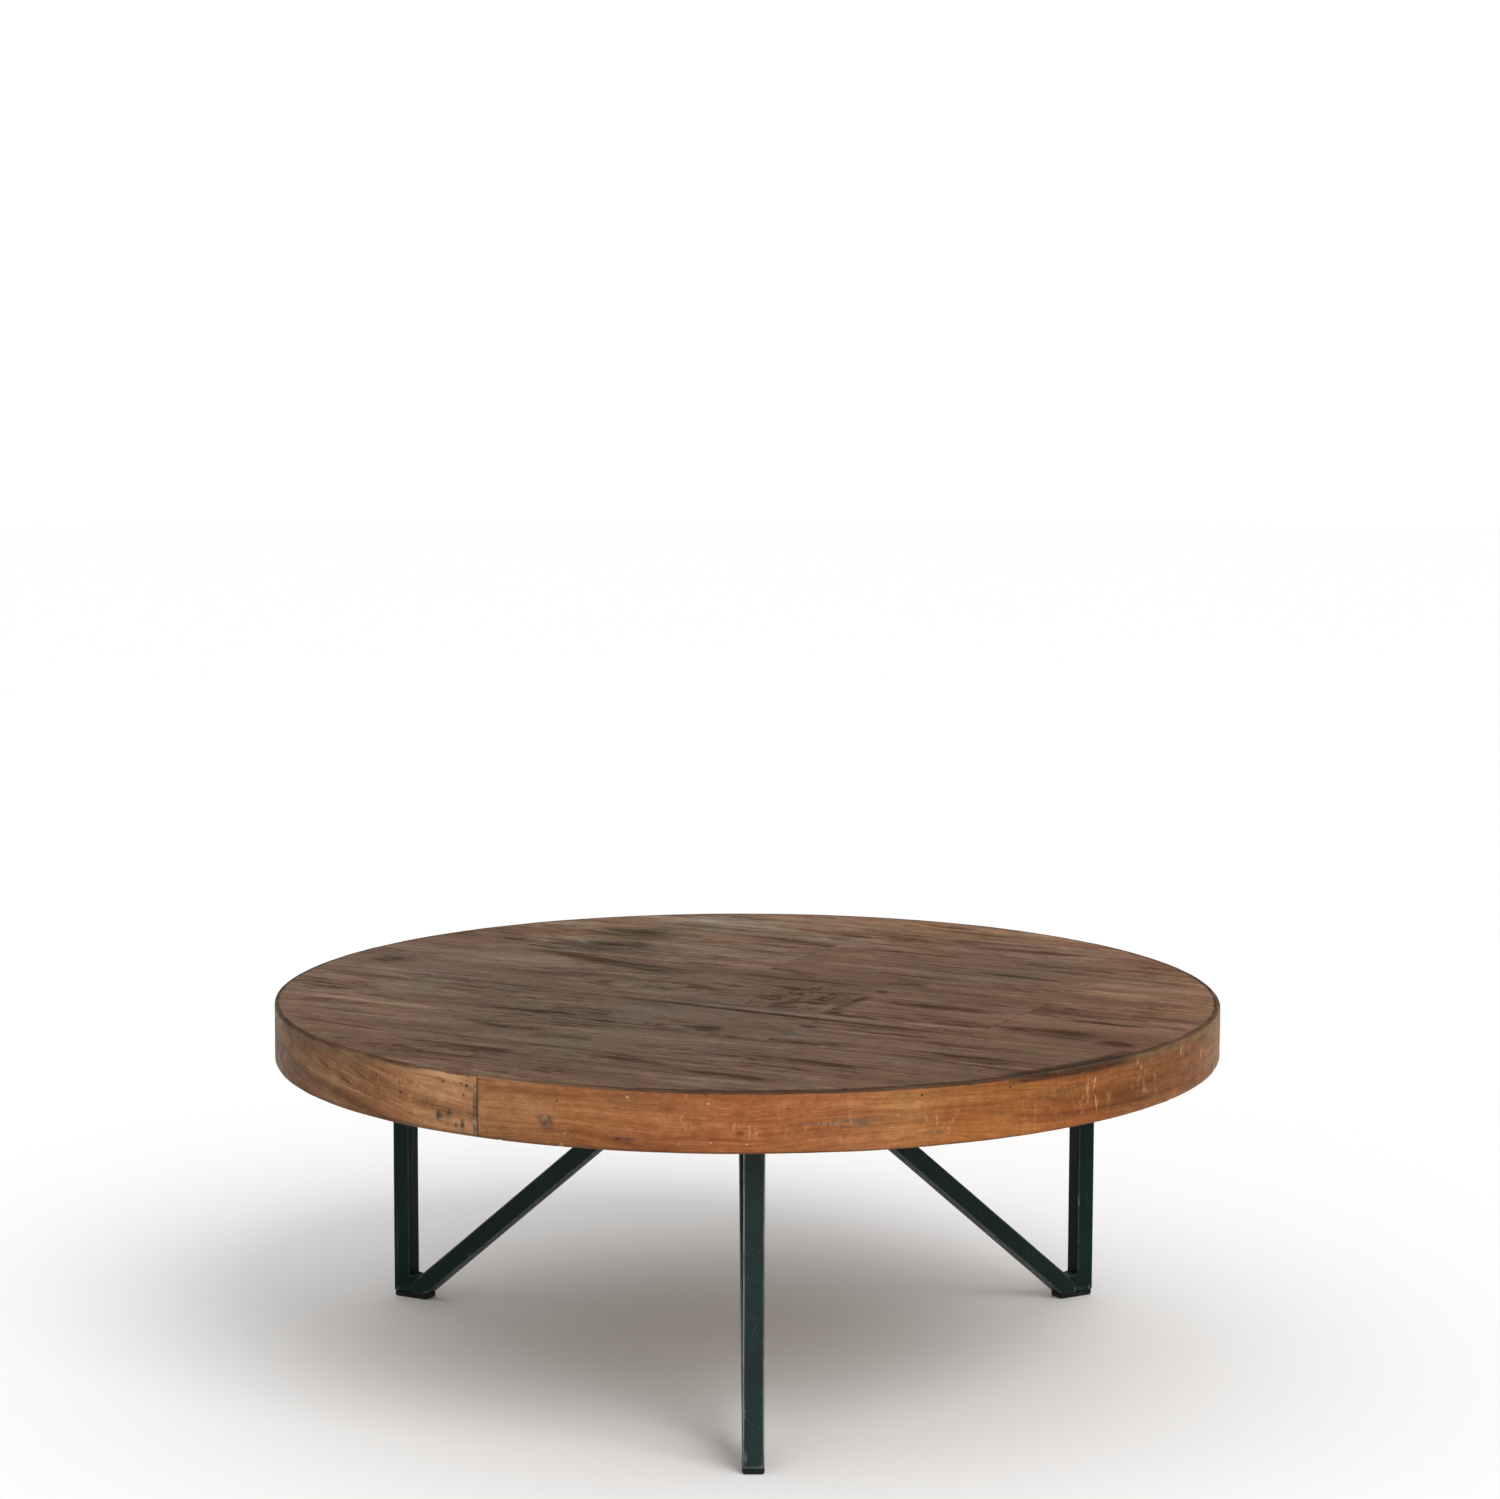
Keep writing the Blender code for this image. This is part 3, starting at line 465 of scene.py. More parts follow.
    # insect holes and tiny pale chips
    d, rnd = n.voronoi(flat, (34.0, 34.0, 34.0), o, color=True)
    rx, ry, _ = n.sep(rnd)
    hole = n.mul(n.step(d, 0.050, 0.028), n.step(rx, 0.74, 0.76))
    halo = n.mul(n.step(d, 0.24, 0.04), n.step(rx, 0.74, 0.76))
    chip = n.mul(n.step(d, 0.040, 0.028), n.step(ry, 0.88, 0.89))
    col = n.mix(n.mul(halo, 0.35), col, (0.110, 0.0480, 0.0220))
    col = n.mix(n.mul(hole, 0.90), col, (0.018, 0.0100, 0.0070))
    col = n.mix(n.mul(chip, 0.70), col, (0.560, 0.4200, 0.2800))
    # the upper arris has the brown of the top, the lower one is dark with bare chips
    up = n.step(z, Z_TOP - 0.0040, Z_TOP - 0.0012)
    upn = n.step(n.add(up, n.mul(blur, 0.9)), 0.30, 0.80)
    top = n.ramp(n.lin(n.noise(q, (10.0, 200.0, 320.0), o, 3.0, 0.6), 0.36, 0.64), [
        (0.0, (0.040, 0.0190, 0.0100)), (0.5, (0.115, 0.0560, 0.0300)), (1.0, (0.240, 0.1350, 0.0770))])
    col = n.mix(n.mul(upn, 0.85), col, top)
    # dark line where the strip meets the planks: dark filler and painted shade of the gap
    inner = n.step(depth, EDGE_T - 0.0024, EDGE_T - 0.0006)
    col = n.mix(n.mul(n.mul(inner, n.step(z, Z_TOP - 0.004, Z_TOP - 0.002)), 0.75), col, (0.018, 0.0100, 0.0070))
    if arris is not None:
        col = arris(n, col, deg, a, z, t, blur)
    foot = n.step(z, Z_UNDER + 0.0034, Z_UNDER + 0.0002)
    footn = n.step(n.add(foot, n.mul(blur, 0.9)), 0.40, 0.80)
    col = n.mix(n.mul(footn, 0.55), col, (0.085, 0.0340, 0.0150))
    bare = n.mul(foot, n.step(n.noise(flat, (70.0, 20.0, 20.0), o, 3.0, 0.65), 0.63, 0.70))
    col = n.mix(n.mul(bare, 0.5), col, (0.480, 0.2800, 0.1500))
    ends = n.attr("edge")
    col = n.mix(n.mul(n.step(ends, 0.35, 1.0), 0.70), col, (0.030, 0.0150, 0.0090))
    col = n.mix(1.0, col, (tone, tone, tone, 1.0), "MULTIPLY")
    h = n.add(n.mul(line, 0.35), n.add(n.mul(hair, 0.25), n.mul(band2, 0.35)))
    h = n.sub(h, n.mul(pores, 0.30))
    h = n.sub(n.sub(h, n.mul(hole, 1.6)), n.mul(scuffs, 0.18))
    h = n.sub(n.sub(h, n.mul(chip, 0.8)), n.mul(late, 0.18))
    rv = n.noise(flat, (70.0, 120.0, 120.0), o, 2.0, 0.5)
    rough = n.add(n.lin(rv, 0.3, 0.7, 0.42, 0.56), n.mul(scuffs, 0.10))
    return n.set(Base_Color=col, Roughness=rough, Specular_IOR_Level=0.085, Normal=n.bump(h, 0.00045, 0.75))


ARC = math.radians(1.0) * TABLE_R                     # metres of rim in a degree


def between(n, x, a, b, soft):
    return n.mul(n.step(x, a - soft, a + soft), n.step(x, b + soft, b - soft))


def marks(n, col, a, z, blur, brk, places):
    """Stains and knots: (degree, height, half length, half height, colour, strength, ragged)."""
    for d0, z0, ru, rz, tint, k, ragged in places:
        s = n.spot(a, z, d0 * ARC, z0, ru, rz, wobble=n.mul(blur, 0.8))
        if ragged:
            s = n.mul(s, n.step(brk, 0.34 + 0.06 * ragged, 0.54 + 0.06 * ragged))
        col = n.mix(n.mul(s, k), col, tint)
    return col


def front_strip(n, col, where, deg, a, z, t, brk, blur, o):
    """What the photo shows on the strip that faces it; degrees from the strip's middle."""
    pale = n.step(deg, -46.0, -54.0)
    col = n.mix(n.mul(pale, 0.55), col, n.ramp(t, [(0.0, (0.180, 0.076, 0.030)), (0.5, (0.300, 0.135, 0.058)), (1.0, (0.45, 0.25, 0.12))]))
    red = between(n, deg, -46.0, -14.0, 7.0)
    col = n.mix(n.mul(red, 0.40), col, n.ramp(t, [(0.0, (0.180, 0.050, 0.016)), (0.5, (0.315, 0.102, 0.032)), (1.0, (0.45, 0.19, 0.075))]))
    gold = between(n, deg, -14.0, 10.0, 6.0)
    col = n.mix(n.mul(gold, 0.50), col, n.ramp(t, [(0.0, (0.190, 0.080, 0.026)), (0.5, (0.335, 0.145, 0.046)), (1.0, (0.48, 0.25, 0.095))]))
    olive = n.step(deg, 6.0, 26.0)
    col = n.mix(n.mul(olive, 0.72), col, n.ramp(t, [(0.0, (0.062, 0.027, 0.008)), (0.5, (0.150, 0.064, 0.019)), (1.0, (0.30, 0.150, 0.056))]))
    edge = n.step(deg, 33.0, 46.0)
    col = n.mix(n.mul(edge, 0.50), col, n.ramp(t, [(0.0, (0.115, 0.058, 0.022)), (0.5, (0.225, 0.122, 0.046)), (1.0, (0.38, 0.235, 0.105))]))
    col = marks(n, col, a, z, blur, brk, (
        (-51.3, 0.3168, 0.0080, 0.0086, (0.120, 0.064, 0.036), 0.72, 0), (-51.35, 0.3176, 0.0040, 0.0054, (0.300, 0.200, 0.125), 0.70, 1),
        (-51.4, 0.3142, 0.0024, 0.0020, (0.060, 0.034, 0.022), 0.70, 0), (-50.9, 0.3200, 0.0016, 0.0030, (0.090, 0.050, 0.030), 0.60, 0),
        (-42.3, 0.3060, 0.0100, 0.0042, (0.095, 0.036, 0.028), 0.75, 1), (-43.0, 0.3058, 0.0045, 0.0022, (0.050, 0.020, 0.016), 0.60, 0),
        (-49.9, 0.3348, 0.0013, 0.0013, (0.060, 0.026, 0.014), 0.80, 0), (-24.1, 0.3350, 0.0052, 0.0018, (0.085, 0.040, 0.022), 0.70, 1),
        (-19.0, 0.3335, 0.0400, 0.0008, (0.110, 0.050, 0.025), 0.60, 1), (-29.5, 0.3136, 0.0042, 0.0028, (0.100, 0.036, 0.015), 0.65, 0),
        (-9.3, 0.3418, 0.0013, 0.0013, (0.030, 0.015, 0.009), 0.85, 0), (1.6, 0.3414, 0.0011, 0.0011, (0.035, 0.017, 0.010), 0.85, 0),
        (-18.4, 0.3216, 0.0400, 0.0046, (0.125, 0.082, 0.052), 0.62, 1), (-15.5, 0.3230, 0.0160, 0.0030, (0.080, 0.056, 0.040), 0.50, 1),
        (8.5, 0.3150, 0.0180, 0.0065, (0.140, 0.040, 0.016), 0.50, 1), (9.3, 0.3300, 0.0330, 0.0085, (0.120, 0.068, 0.030), 0.50, 1),
        (19.0, 0.3120, 0.0160, 0.0060, (0.110, 0.040, 0.018), 0.50, 1), (27.0, 0.3250, 0.0140, 0.0050, (0.110, 0.042, 0.018), 0.45, 1),
        (44.6, 0.3060, 0.0042, 0.0034, (0.026, 0.015, 0.010), 0.92, 0), (-38.0, 0.3330, 0.0240, 0.0030, (0.120, 0.052, 0.024), 0.35, 1),
        (-56.5, 0.3400, 0.0200, 0.0030, (0.110, 0.056, 0.030), 0.40, 1), (-8.0, 0.3085, 0.0150, 0.0025, (0.120, 0.070, 0.040), 0.45, 1)))
    for lo, hi, soft, tint in ((-46.0, -33.0, 4.0, (0.88, 0.92, 0.97)), (-22.0, -9.0, 4.0, (1.04, 1.10, 1.13)),
                               (-8.0, 21.0, 5.0, (0.88, 0.73, 0.56)), (24.0, 80.0, 5.0, (1.03, 0.90, 0.66))):
        col = n.mix(between(n, deg, lo, hi, soft), col, tint, "MULTIPLY")
    seam = n.step(n.add(a, n.mul(blur, 0.0006)), -59.72 * ARC, -59.86 * ARC)
    col = n.mix(n.mul(seam, 0.70), col, (0.075, 0.036, 0.020))
    # pale specks of plaster and paint
    for d0, z0, r0 in ((-49.0, 0.3070, 0.0008), (-28.7, 0.3042, 0.0008), (-32.9, 0.3390, 0.0010), (-41.8, 0.3423, 0.0009),
                       (-32.6, 0.3053, 0.0007), (-36.1, 0.3037, 0.0006), (-57.0, 0.3150, 0.0005), (-6.0, 0.3070, 0.0006)):
        s = n.spot(a, z, d0 * ARC, z0, r0 * 1.2, r0 * 0.8, wobble=n.mul(blur, 0.9))
        col = n.mix(n.mul(s, 0.80), col, (0.560, 0.460, 0.340))
    # scuffed zones, a long curved scratch and bare dashes
    zone = None
    for d0, z0, ru, rz in ((-35.2, 0.3225, 4.2, 0.0080), (-28.6, 0.3220, 2.6, 0.0145), (-18.5, 0.3215, 5.6, 0.0048),
                           (-6.8, 0.3200, 2.6, 0.0125), (4.5, 0.3170, 1.8, 0.0135), (14.0, 0.3230, 4.6, 0.0200),
                           (32.5, 0.3370, 2.2, 0.0080), (38.6, 0.3230, 1.6, 0.0120), (24.0, 0.3200, 3.5, 0.0160)):
        s = n.spot(deg, z, d0, z0, ru, rz, wobble=blur)
        zone = s if zone is None else n.mx(zone, s)
    where = n.mx(n.mul(where, 0.35), zone)
    for d0, z0, ru, rz, sl, k in ((14.2, 0.3150, 0.0008, 0.0070, -9.0, 0.65), (14.0, 0.3350, 0.0016, 0.0030, 5.0, 0.70),
                                  (21.7, 0.3430, 0.0016, 0.0034, 9.0, 0.70), (22.4, 0.3380, 0.0009, 0.0040, -8.0, 0.55),
                                  (32.0, 0.3400, 0.0012, 0.0060, 5.0, 0.50), (38.6, 0.3260, 0.0014, 0.0055, 12.0, 0.45),
                                  (-32.2, 0.3482, 0.0090, 0.0011, 0.0, 0.70)):
        s = n.spot(z, a, z0, d0 * ARC, rz, ru, slope=1.0 / sl if sl else 0.0, wobble=n.mul(blur, 0.7))
        col = n.mix(n.mul(n.mul(s, n.step(brk, 0.32, 0.50)), k), col, (0.600, 0.370, 0.200))
    return col, where


def front_arris(n, col, deg, a, z, t, blur):
    """Dark, uneven line along the upper arris, broad towards the right: dark filler and painted shade in the joint with
    the planks.
    """
    low = n.add(z, n.mul(blur, 0.0010))
    # the thin dark line and its broad part on the right: dark filler and painted shade of the joint
    line = n.mul(between(n, deg, -40.0, 2.0, 5.0), n.step(low, Z_TOP - 0.0038, Z_TOP - 0.0020))
    col = n.mix(n.mul(line, 0.80), col, (0.045, 0.0210, 0.0110))
    wedge = n.mul(n.step(deg, 15.0, 22.0), n.step(low, Z_TOP - 0.0115, Z_TOP - 0.0065))
    col = n.mix(n.mul(wedge, 0.66), col, n.ramp(t, [(0.0, (0.080, 0.045, 0.018)), (1.0, (0.220, 0.135, 0.062))]))
    right = n.mul(n.step(deg, 10.0, 20.0), n.step(low, Z_TOP - 0.0028, Z_TOP - 0.0015))
    col = n.mix(n.mul(right, 0.72), col, (0.040, 0.0200, 0.0110))
    stain = n.mul(between(n, deg, 2.0, 20.5, 3.0), n.step(low, Z_TOP - 0.0078, Z_TOP - 0.0052))
    return n.mix(n.mul(n.mul(stain, n.step(t, 0.62, 0.20, 0.66, 1.0)), 0.92), col, (0.028, 0.0140, 0.0080))


def left_arris(n, col, deg, a, z, t, blur):
    """Thin dark line and a brown band along the upper arris; the line is painted shade of the groove at the joint."""
    low = n.add(z, n.mul(blur, 0.0014))
    band = n.mul(n.step(deg, 56.0, 44.0), n.step(low, Z_TOP - 0.0110, Z_TOP - 0.0055))
    col = n.mix(n.mul(band, 0.60), col, n.ramp(t, [(0.0, (0.055, 0.030, 0.014)), (1.0, (0.170, 0.105, 0.056))]))
    # painted shade of the groove at the joint
    line = n.mul(n.step(deg, 61.0, 52.0, 0.35, 1.0), n.step(low, Z_TOP - 0.0032, Z_TOP - 0.0018))
    return n.mix(n.mul(n.mul(line, n.step(t, 0.65, 0.25, 0.60, 1.0)), 0.84), col, (0.034, 0.0175, 0.0095))


def left_strip(n, col, where, deg, a, z, t, brk, blur, o):
    """The strip left of the joint; its end is at +60 degrees."""
    tan = n.step(deg, 42.0, 55.0)
    col = n.mix(n.mul(tan, 0.55), col, n.ramp(t, [(0.0, (0.170, 0.085, 0.037)), (0.5, (0.315, 0.165, 0.074)), (1.0, (0.50, 0.30, 0.155))]))
    # painted shade: darker towards the left end, where the rim turns away from the light
    turned_away_shade = n.step(deg, 50.0, 20.0)
    col = n.mix(n.mul(turned_away_shade, 0.82), col, n.ramp(t, [(0.0, (0.046, 0.024, 0.009)), (0.5, (0.104, 0.053, 0.020)), (1.0, (0.205, 0.122, 0.056))]))
    col = marks(n, col, a, z, blur, brk, (
        (55.2, 0.3085, 0.0140, 0.0075, (0.140, 0.092, 0.055), 0.60, 1), (54.7, 0.3092, 0.0040, 0.0050, (0.046, 0.038, 0.022), 0.85, 1),
        (56.3, 0.3142, 0.0032, 0.0024, (0.050, 0.032, 0.020), 0.80, 1), (58.1, 0.3040, 0.0030, 0.0065, (0.055, 0.046, 0.030), 0.85, 1),
        (57.8, 0.3035, 0.0060, 0.0080, (0.150, 0.098, 0.068), 0.55, 1), (54.6, 0.3094, 0.0034, 0.0044, (0.048, 0.038, 0.020), 0.80, 0),
        (56.1, 0.3122, 0.0026, 0.0016, (0.048, 0.032, 0.019), 0.78, 0), (58.0, 0.3050, 0.0024, 0.0050, (0.052, 0.042, 0.027), 0.80, 0),
        (57.1, 0.3030, 0.0016, 0.0024, (0.050, 0.036, 0.024), 0.80, 0), (47.5, 0.3220, 0.0060, 0.0046, (0.190, 0.130, 0.090), 0.50, 1), (14.0, 0.3170, 0.0070, 0.0060, (0.050, 0.036, 0.020), 0.70, 1),
        (36.0, 0.3080, 0.0120, 0.0030, (0.062, 0.032, 0.016), 0.60, 1), (30.0, 0.3380, 0.0160, 0.0050, (0.070, 0.036, 0.018), 0.55, 1),
        (44.0, 0.3300, 0.0200, 0.0040, (0.095, 0.048, 0.024), 0.45, 1), (40.0, 0.3180, 0.0150, 0.0035, (0.075, 0.038, 0.019), 0.50, 1)))
    for d0, z0, ru, rz, k in ((46.5, 0.3265, 0.0200, 0.0014, 0.60), (41.5, 0.3300, 0.0240, 0.0016, 0.62), (38.0, 0.3225, 0.0200, 0.0022, 0.60),
                              (33.5, 0.3290, 0.0180, 0.0024, 0.62), (28.0, 0.3200, 0.0140, 0.0030, 0.60), (43.5, 0.3130, 0.0200, 0.0014, 0.50),
                              (50.5, 0.3330, 0.0140, 0.0012, 0.45), (22.0, 0.3290, 0.0160, 0.0036, 0.60), (24.0, 0.3120, 0.0120, 0.0030, 0.50)):
        s = n.spot(a, z, d0 * ARC, z0, ru, rz, slope=-0.26, wobble=n.mul(blur, 0.8), soft=(1.2, 0.3))
        col = n.mix(n.mul(n.mul(s, n.step(brk, 0.34, 0.52)), k), col, (0.056, 0.0290, 0.0130))
    for d0, z0, r0 in ((55.3, 0.3398, 0.0012), (57.9, 0.3406, 0.0011), (58.6, 0.3392, 0.0016), (58.2, 0.3305, 0.0012),
                       (48.0, 0.3360, 0.0008)):
        s = n.spot(a, z, d0 * ARC, z0, r0 * 1.3, r0, wobble=n.mul(blur, 0.5))
        col = n.mix(n.mul(s, 0.85), col, (0.050, 0.020, 0.013))
    for lo, hi, soft, tint in ((-80.0, 31.0, 5.0, (0.85, 0.74, 0.52)), (37.0, 48.0, 3.0, (0.86, 0.87, 0.90)),
                               (51.0, 80.0, 2.0, (1.07, 1.07, 1.15))):
        col = n.mix(between(n, deg, lo, hi, soft), col, tint, "MULTIPLY")
    # grey filler in the joint
    fill_in = n.mul(n.step(n.add(a, n.mul(blur, 0.0009)), 59.50 * ARC - 0.0004, 59.50 * ARC + 0.0004),
                    n.step(n.add(z, n.mul(blur, 0.002)), Z_TOP - 0.0080, Z_TOP - 0.0110, 0.25, 1.0))
    grey = n.ramp(brk, [(0.35, (0.050, 0.036, 0.026)), (0.52, (0.115, 0.086, 0.062)), (0.66, (0.230, 0.185, 0.135))])
    col = n.mix(n.mul(fill_in, 0.88), col, grey)
    # pale streaks under the upper arris: bare wood and a painted edge highlight
    bare_and_highlight = n.mul(between(n, deg, 44.0, 56.0, 3.0), n.spot(z, z, Z_TOP - 0.0056, Z_TOP - 0.0056, 0.0024, 0.0024, wobble=blur))
    col = n.mix(n.mul(bare_and_highlight, 0.40), col, (0.520, 0.320, 0.170))
    where = n.mx(n.mul(where, 0.5), n.spot(deg, z, 46.0, 0.3240, 8.0, 0.0130, wobble=blur))
    return col, where


def raw_material(name, seed, along=(1.0, 0.0, 0.0), tone=1.0, polar=False):
    """Unfinished sawn wood under the top."""
    n = Net(name)
    if polar:
        x, y, z = n.sep(n.P)
        a = n.mul(n.m("ARCTAN2", y, x), 0.41)
        r = n.m("SQRT", n.add(n.mul(x, x), n.mul(y, y)))
        f = n.xyz(a, r, z)
    else:
        d = Vector(along).normalized()
        e = Vector((-d.y, d.x, 0.0))
        f = n.xyz(n.vm("DOT_PRODUCT", n.P, d), n.vm("DOT_PRODUCT", n.P, e), n.sep(n.P)[2])
    o = (seed * 2.3 + 0.4, seed * 4.7 + 1.1, seed * 1.7 + 3.0)
    w = n.noise(f, (3.0, 9.0, 9.0), o, 2.0, 0.5)
    fx, fy, fz = n.sep(f)
    fy = n.mad(n.sub(w, 0.5), 0.03, fy)
    q = n.xyz(fx, fy, fz)
    band = n.noise(q, (1.8, 45.0, 45.0), o, 2.0, 0.5)
    line = n.noise(q, (7.0, 240.0, 240.0), o, 4.0, 0.6)
    pore = n.noise(q, (60.0, 1500.0, 1500.0), o, 2.0, 0.5)
    cloud = n.noise(f, (8.0, 14.0, 14.0), (o[2], o[1], o[0]), 3.0, 0.6)
    t = n.lin(n.add(n.mul(band, 0.5), n.mul(line, 0.5)), 0.36, 0.64, 0.0, 1.0)
    col = n.ramp(t, [(0.0, (0.155, 0.088, 0.048)), (0.4, (0.270, 0.168, 0.096)), (0.7, (0.370, 0.245, 0.150)),
                     (1.0, (0.480, 0.345, 0.225))])
    col = n.mix(n.step(cloud, 0.52, 0.72, 0.0, 0.55), col, (0.215, 0.165, 0.120))
    col = n.mix(n.mul(n.step(pore, 0.58, 0.70), 0.4), col, (0.090, 0.050, 0.028))
    saw = n.noise(f, (520.0, 14.0, 14.0), o, 2.0, 0.5)
    kerf = n.mul(n.step(saw, 0.52, 0.66), n.step(n.noise(f, (5.0, 9.0, 9.0), o, 2.0, 0.5), 0.42, 0.6))
    col = n.mix(n.mul(kerf, 0.25), col, (0.130, 0.078, 0.045))
    d, rnd = n.voronoi(f, (19.0, 19.0, 19.0), o, color=True)
    hole = n.mul(n.step(d, 0.030, 0.014), n.step(n.sep(rnd)[1], 0.74, 0.76))
    col = n.mix(n.mul(hole, 0.9), col, (0.020, 0.012, 0.008))
    dust = n.step(n.noise(f, (30.0, 30.0, 30.0), (o[1], o[0], o[2]), 4.0, 0.65), 0.50, 0.75, 0.0, 0.25)
    col = n.mix(dust, col, (0.430, 0.370, 0.300))
    col = n.mix(1.0, col, (tone, tone, tone, 1.0), "MULTIPLY")
    h = n.add(n.mul(line, 0.5), n.sub(n.mul(band, 0.2), n.mul(kerf, 0.5)))
    h = n.sub(h, n.mul(hole, 1.4))
    return n.set(Base_Color=col, Roughness=n.lin(cloud, 0.3, 0.7, 0.66, 0.84), Specular_IOR_Level=0.30,
                 Normal=n.bump(h, 0.0006, 0.8))


def steel_material(name, seed=0.0, weld=False, rub_glint_strength=0.85, line=(0.140, 0.168, 0.158), wear=1.0, spec=0.145,
                   lit_gain=1.0, chips=0.60, lit_lift=(0.0, 0.0, 0.0)):
    """Blue-green black paint on steel, slightly rough, rubbed along the edges, with a painted highlight along the
    corners.
    """
    n = Net(name)
    o = (seed * 3.1 + 0.5, seed * 1.7 + 2.0, seed * 2.9 + 4.0)
    peel = n.noise(n.P, (950.0, 950.0, 950.0), o, 2.0, 0.5)
    grit = n.noise(n.P, (2600.0, 2600.0, 2600.0), o, 1.0, 0.5)
    cloud = n.noise(n.P, (26.0, 26.0, 26.0), o, 3.0, 0.6)
    wide = n.noise(n.P, (7.0, 7.0, 7.0), (o[2], o[0], o[1]), 2.0, 0.5)
    # lit_gain and lit_lift paint a leg's copy lighter where that leg faces the light: painted light
    col = n.ramp(n.lin(n.add(n.mul(cloud, 0.6), n.mul(wide, 0.4)), 0.3, 0.7), [
        (p, tuple(lit_gain * x + more for x, more in zip(c, lit_lift))) for p, c in
        ((0.0, (0.0008, 0.0080, 0.0072)), (0.5, (0.0018, 0.0128, 0.0114)), (1.0, (0.0046, 0.0200, 0.0178)))])
    # rubbed haze and fine specks in the paint
    haze = n.step(n.noise(n.P, (90.0, 90.0, 34.0), o, 4.0, 0.65), 0.54, 0.74)
    col = n.mix(n.mul(haze, 0.24 * wear), col, (0.022, 0.036, 0.034))
    d, rnd = n.voronoi(n.P, (520.0, 520.0, 520.0), o, color=True)
    rx, ry, _ = n.sep(rnd)
    speck = n.mul(n.step(d, 0.30, 0.16), n.step(rx, 0.78, 0.80))
    speck = n.mul(speck, n.step(n.noise(n.P, (40.0, 40.0, 22.0), (o[1], o[0], o[2]), 2.0, 0.5), 0.40, 0.60, 0.25, 1.0))
    col = n.mix(n.mul(speck, 0.55 * wear), col, (0.070, 0.110, 0.102))
    d2, rnd2 = n.voronoi(n.P, (130.0, 130.0, 130.0), (o[2], o[1], o[0]), color=True)
    fleck = n.mul(n.step(d2, 0.085, 0.050), n.step(n.sep(rnd2)[1], 0.90, 0.92))
    col = n.mix(n.mul(fleck, 0.65), col, (0.240, 0.250, 0.235))
    edge = n.attr("edge")
    chip = n.noise(n.P, (190.0, 190.0, 70.0), (o[1], o[2], o[0]), 4.0, 0.7)
    low = n.step(n.sep(n.P)[2], 0.075, 0.010)
    foot = n.step(n.sep(n.P)[2], 0.010, 0.036, 0.22, 1.0)
    worn = n.mul(n.mul(n.step(edge, 0.40, 0.95), n.step(chip, 0.36, 0.56, 0.40, 1.0)), foot)
    col = n.mix(n.mul(worn, 0.45 * wear), col, (0.046, 0.062, 0.058))
    # the very corners carry a thin pale line that comes and goes: rubbed paint and a painted highlight, weaker towards
    # the floor
    run = n.noise(n.P, (60.0, 60.0, 22.0), (o[0] + 2, o[2], o[1]), 4.0, 0.65)
    rub_glint = n.mul(n.step(edge, 0.86, 0.985), n.step(n.mad(low, 0.02, run), 0.38, 0.56, 0.45, 1.0))
    col = n.mix(n.mul(n.mul(rub_glint, foot), rub_glint_strength), col, line)
    bare = n.mul(n.step(edge, 0.50, 1.0),
                 n.step(n.mad(low, 0.055, n.noise(n.P, (330.0, 330.0, 160.0), o, 4.0, 0.7)), 0.61, 0.68))
    col = n.mix(n.mul(bare, chips), col, (0.190, 0.196, 0.184))
    # long fine scratches
    scr = n.mul(n.step(n.noise(n.P, (420.0, 420.0, 9.0), (o[0], o[1] + 5, o[2]), 2.0, 0.5), 0.685, 0.73),
                n.step(wide, 0.45, 0.6))
    col = n.mix(n.mul(scr, 0.40), col, (0.060, 0.072, 0.070))
    # a pale scratch on the right post and scuffs at the front foot
    for sx, sy, sz, rr, rz in ((0.3382, 0.1843, 0.1000, 0.0016, 0.0085), (-0.0095, -0.4040, 0.0130, 0.0044, 0.0100),
                               (-0.0095, -0.4040, 0.0560, 0.0030, 0.0120)):
        dx, dy, dz = n.sep(n.P)
        d3 = n.xyz(n.mul(n.sub(dx, sx), 1.0 / rr), n.mul(n.sub(dy, sy), 1.0 / rr), n.mul(n.sub(dz, sz), 1.0 / rz))
        near = n.step(n.m("SQRT", n.vm("DOT_PRODUCT", d3, d3)), 1.15, 0.75)
        rag = n.step(n.noise(n.P, (700.0, 700.0, 240.0), (o[2], o[0] + 1, o[1]), 4.0, 0.7), 0.46, 0.56)
        col = n.mix(n.mul(n.mul(near, rag), 0.75 if sx > 0.1 else 0.30), col, (0.230, 0.240, 0.225))
    if weld:
        heat = n.step(n.noise(n.P, (260.0, 260.0, 260.0), o, 3.0, 0.6), 0.44, 0.66)
        col = n.mix(n.mul(heat, 0.50), col, (0.090, 0.104, 0.096))
    rough = n.add(n.lin(cloud, 0.3, 0.7, 0.34, 0.48), n.mul(haze, 0.12))
    rough = n.add(rough, n.mul(worn, 0.06))
    h = n.add(n.mul(peel, 0.6), n.add(n.mul(grit, 0.2), n.mul(speck, 0.5)))
    h = n.sub(h, n.mul(bare, 0.5))
    return n.set(Base_Color=col, Roughness=rough, Specular_IOR_Level=spec, Normal=n.bump(h, 0.00016, 0.6))


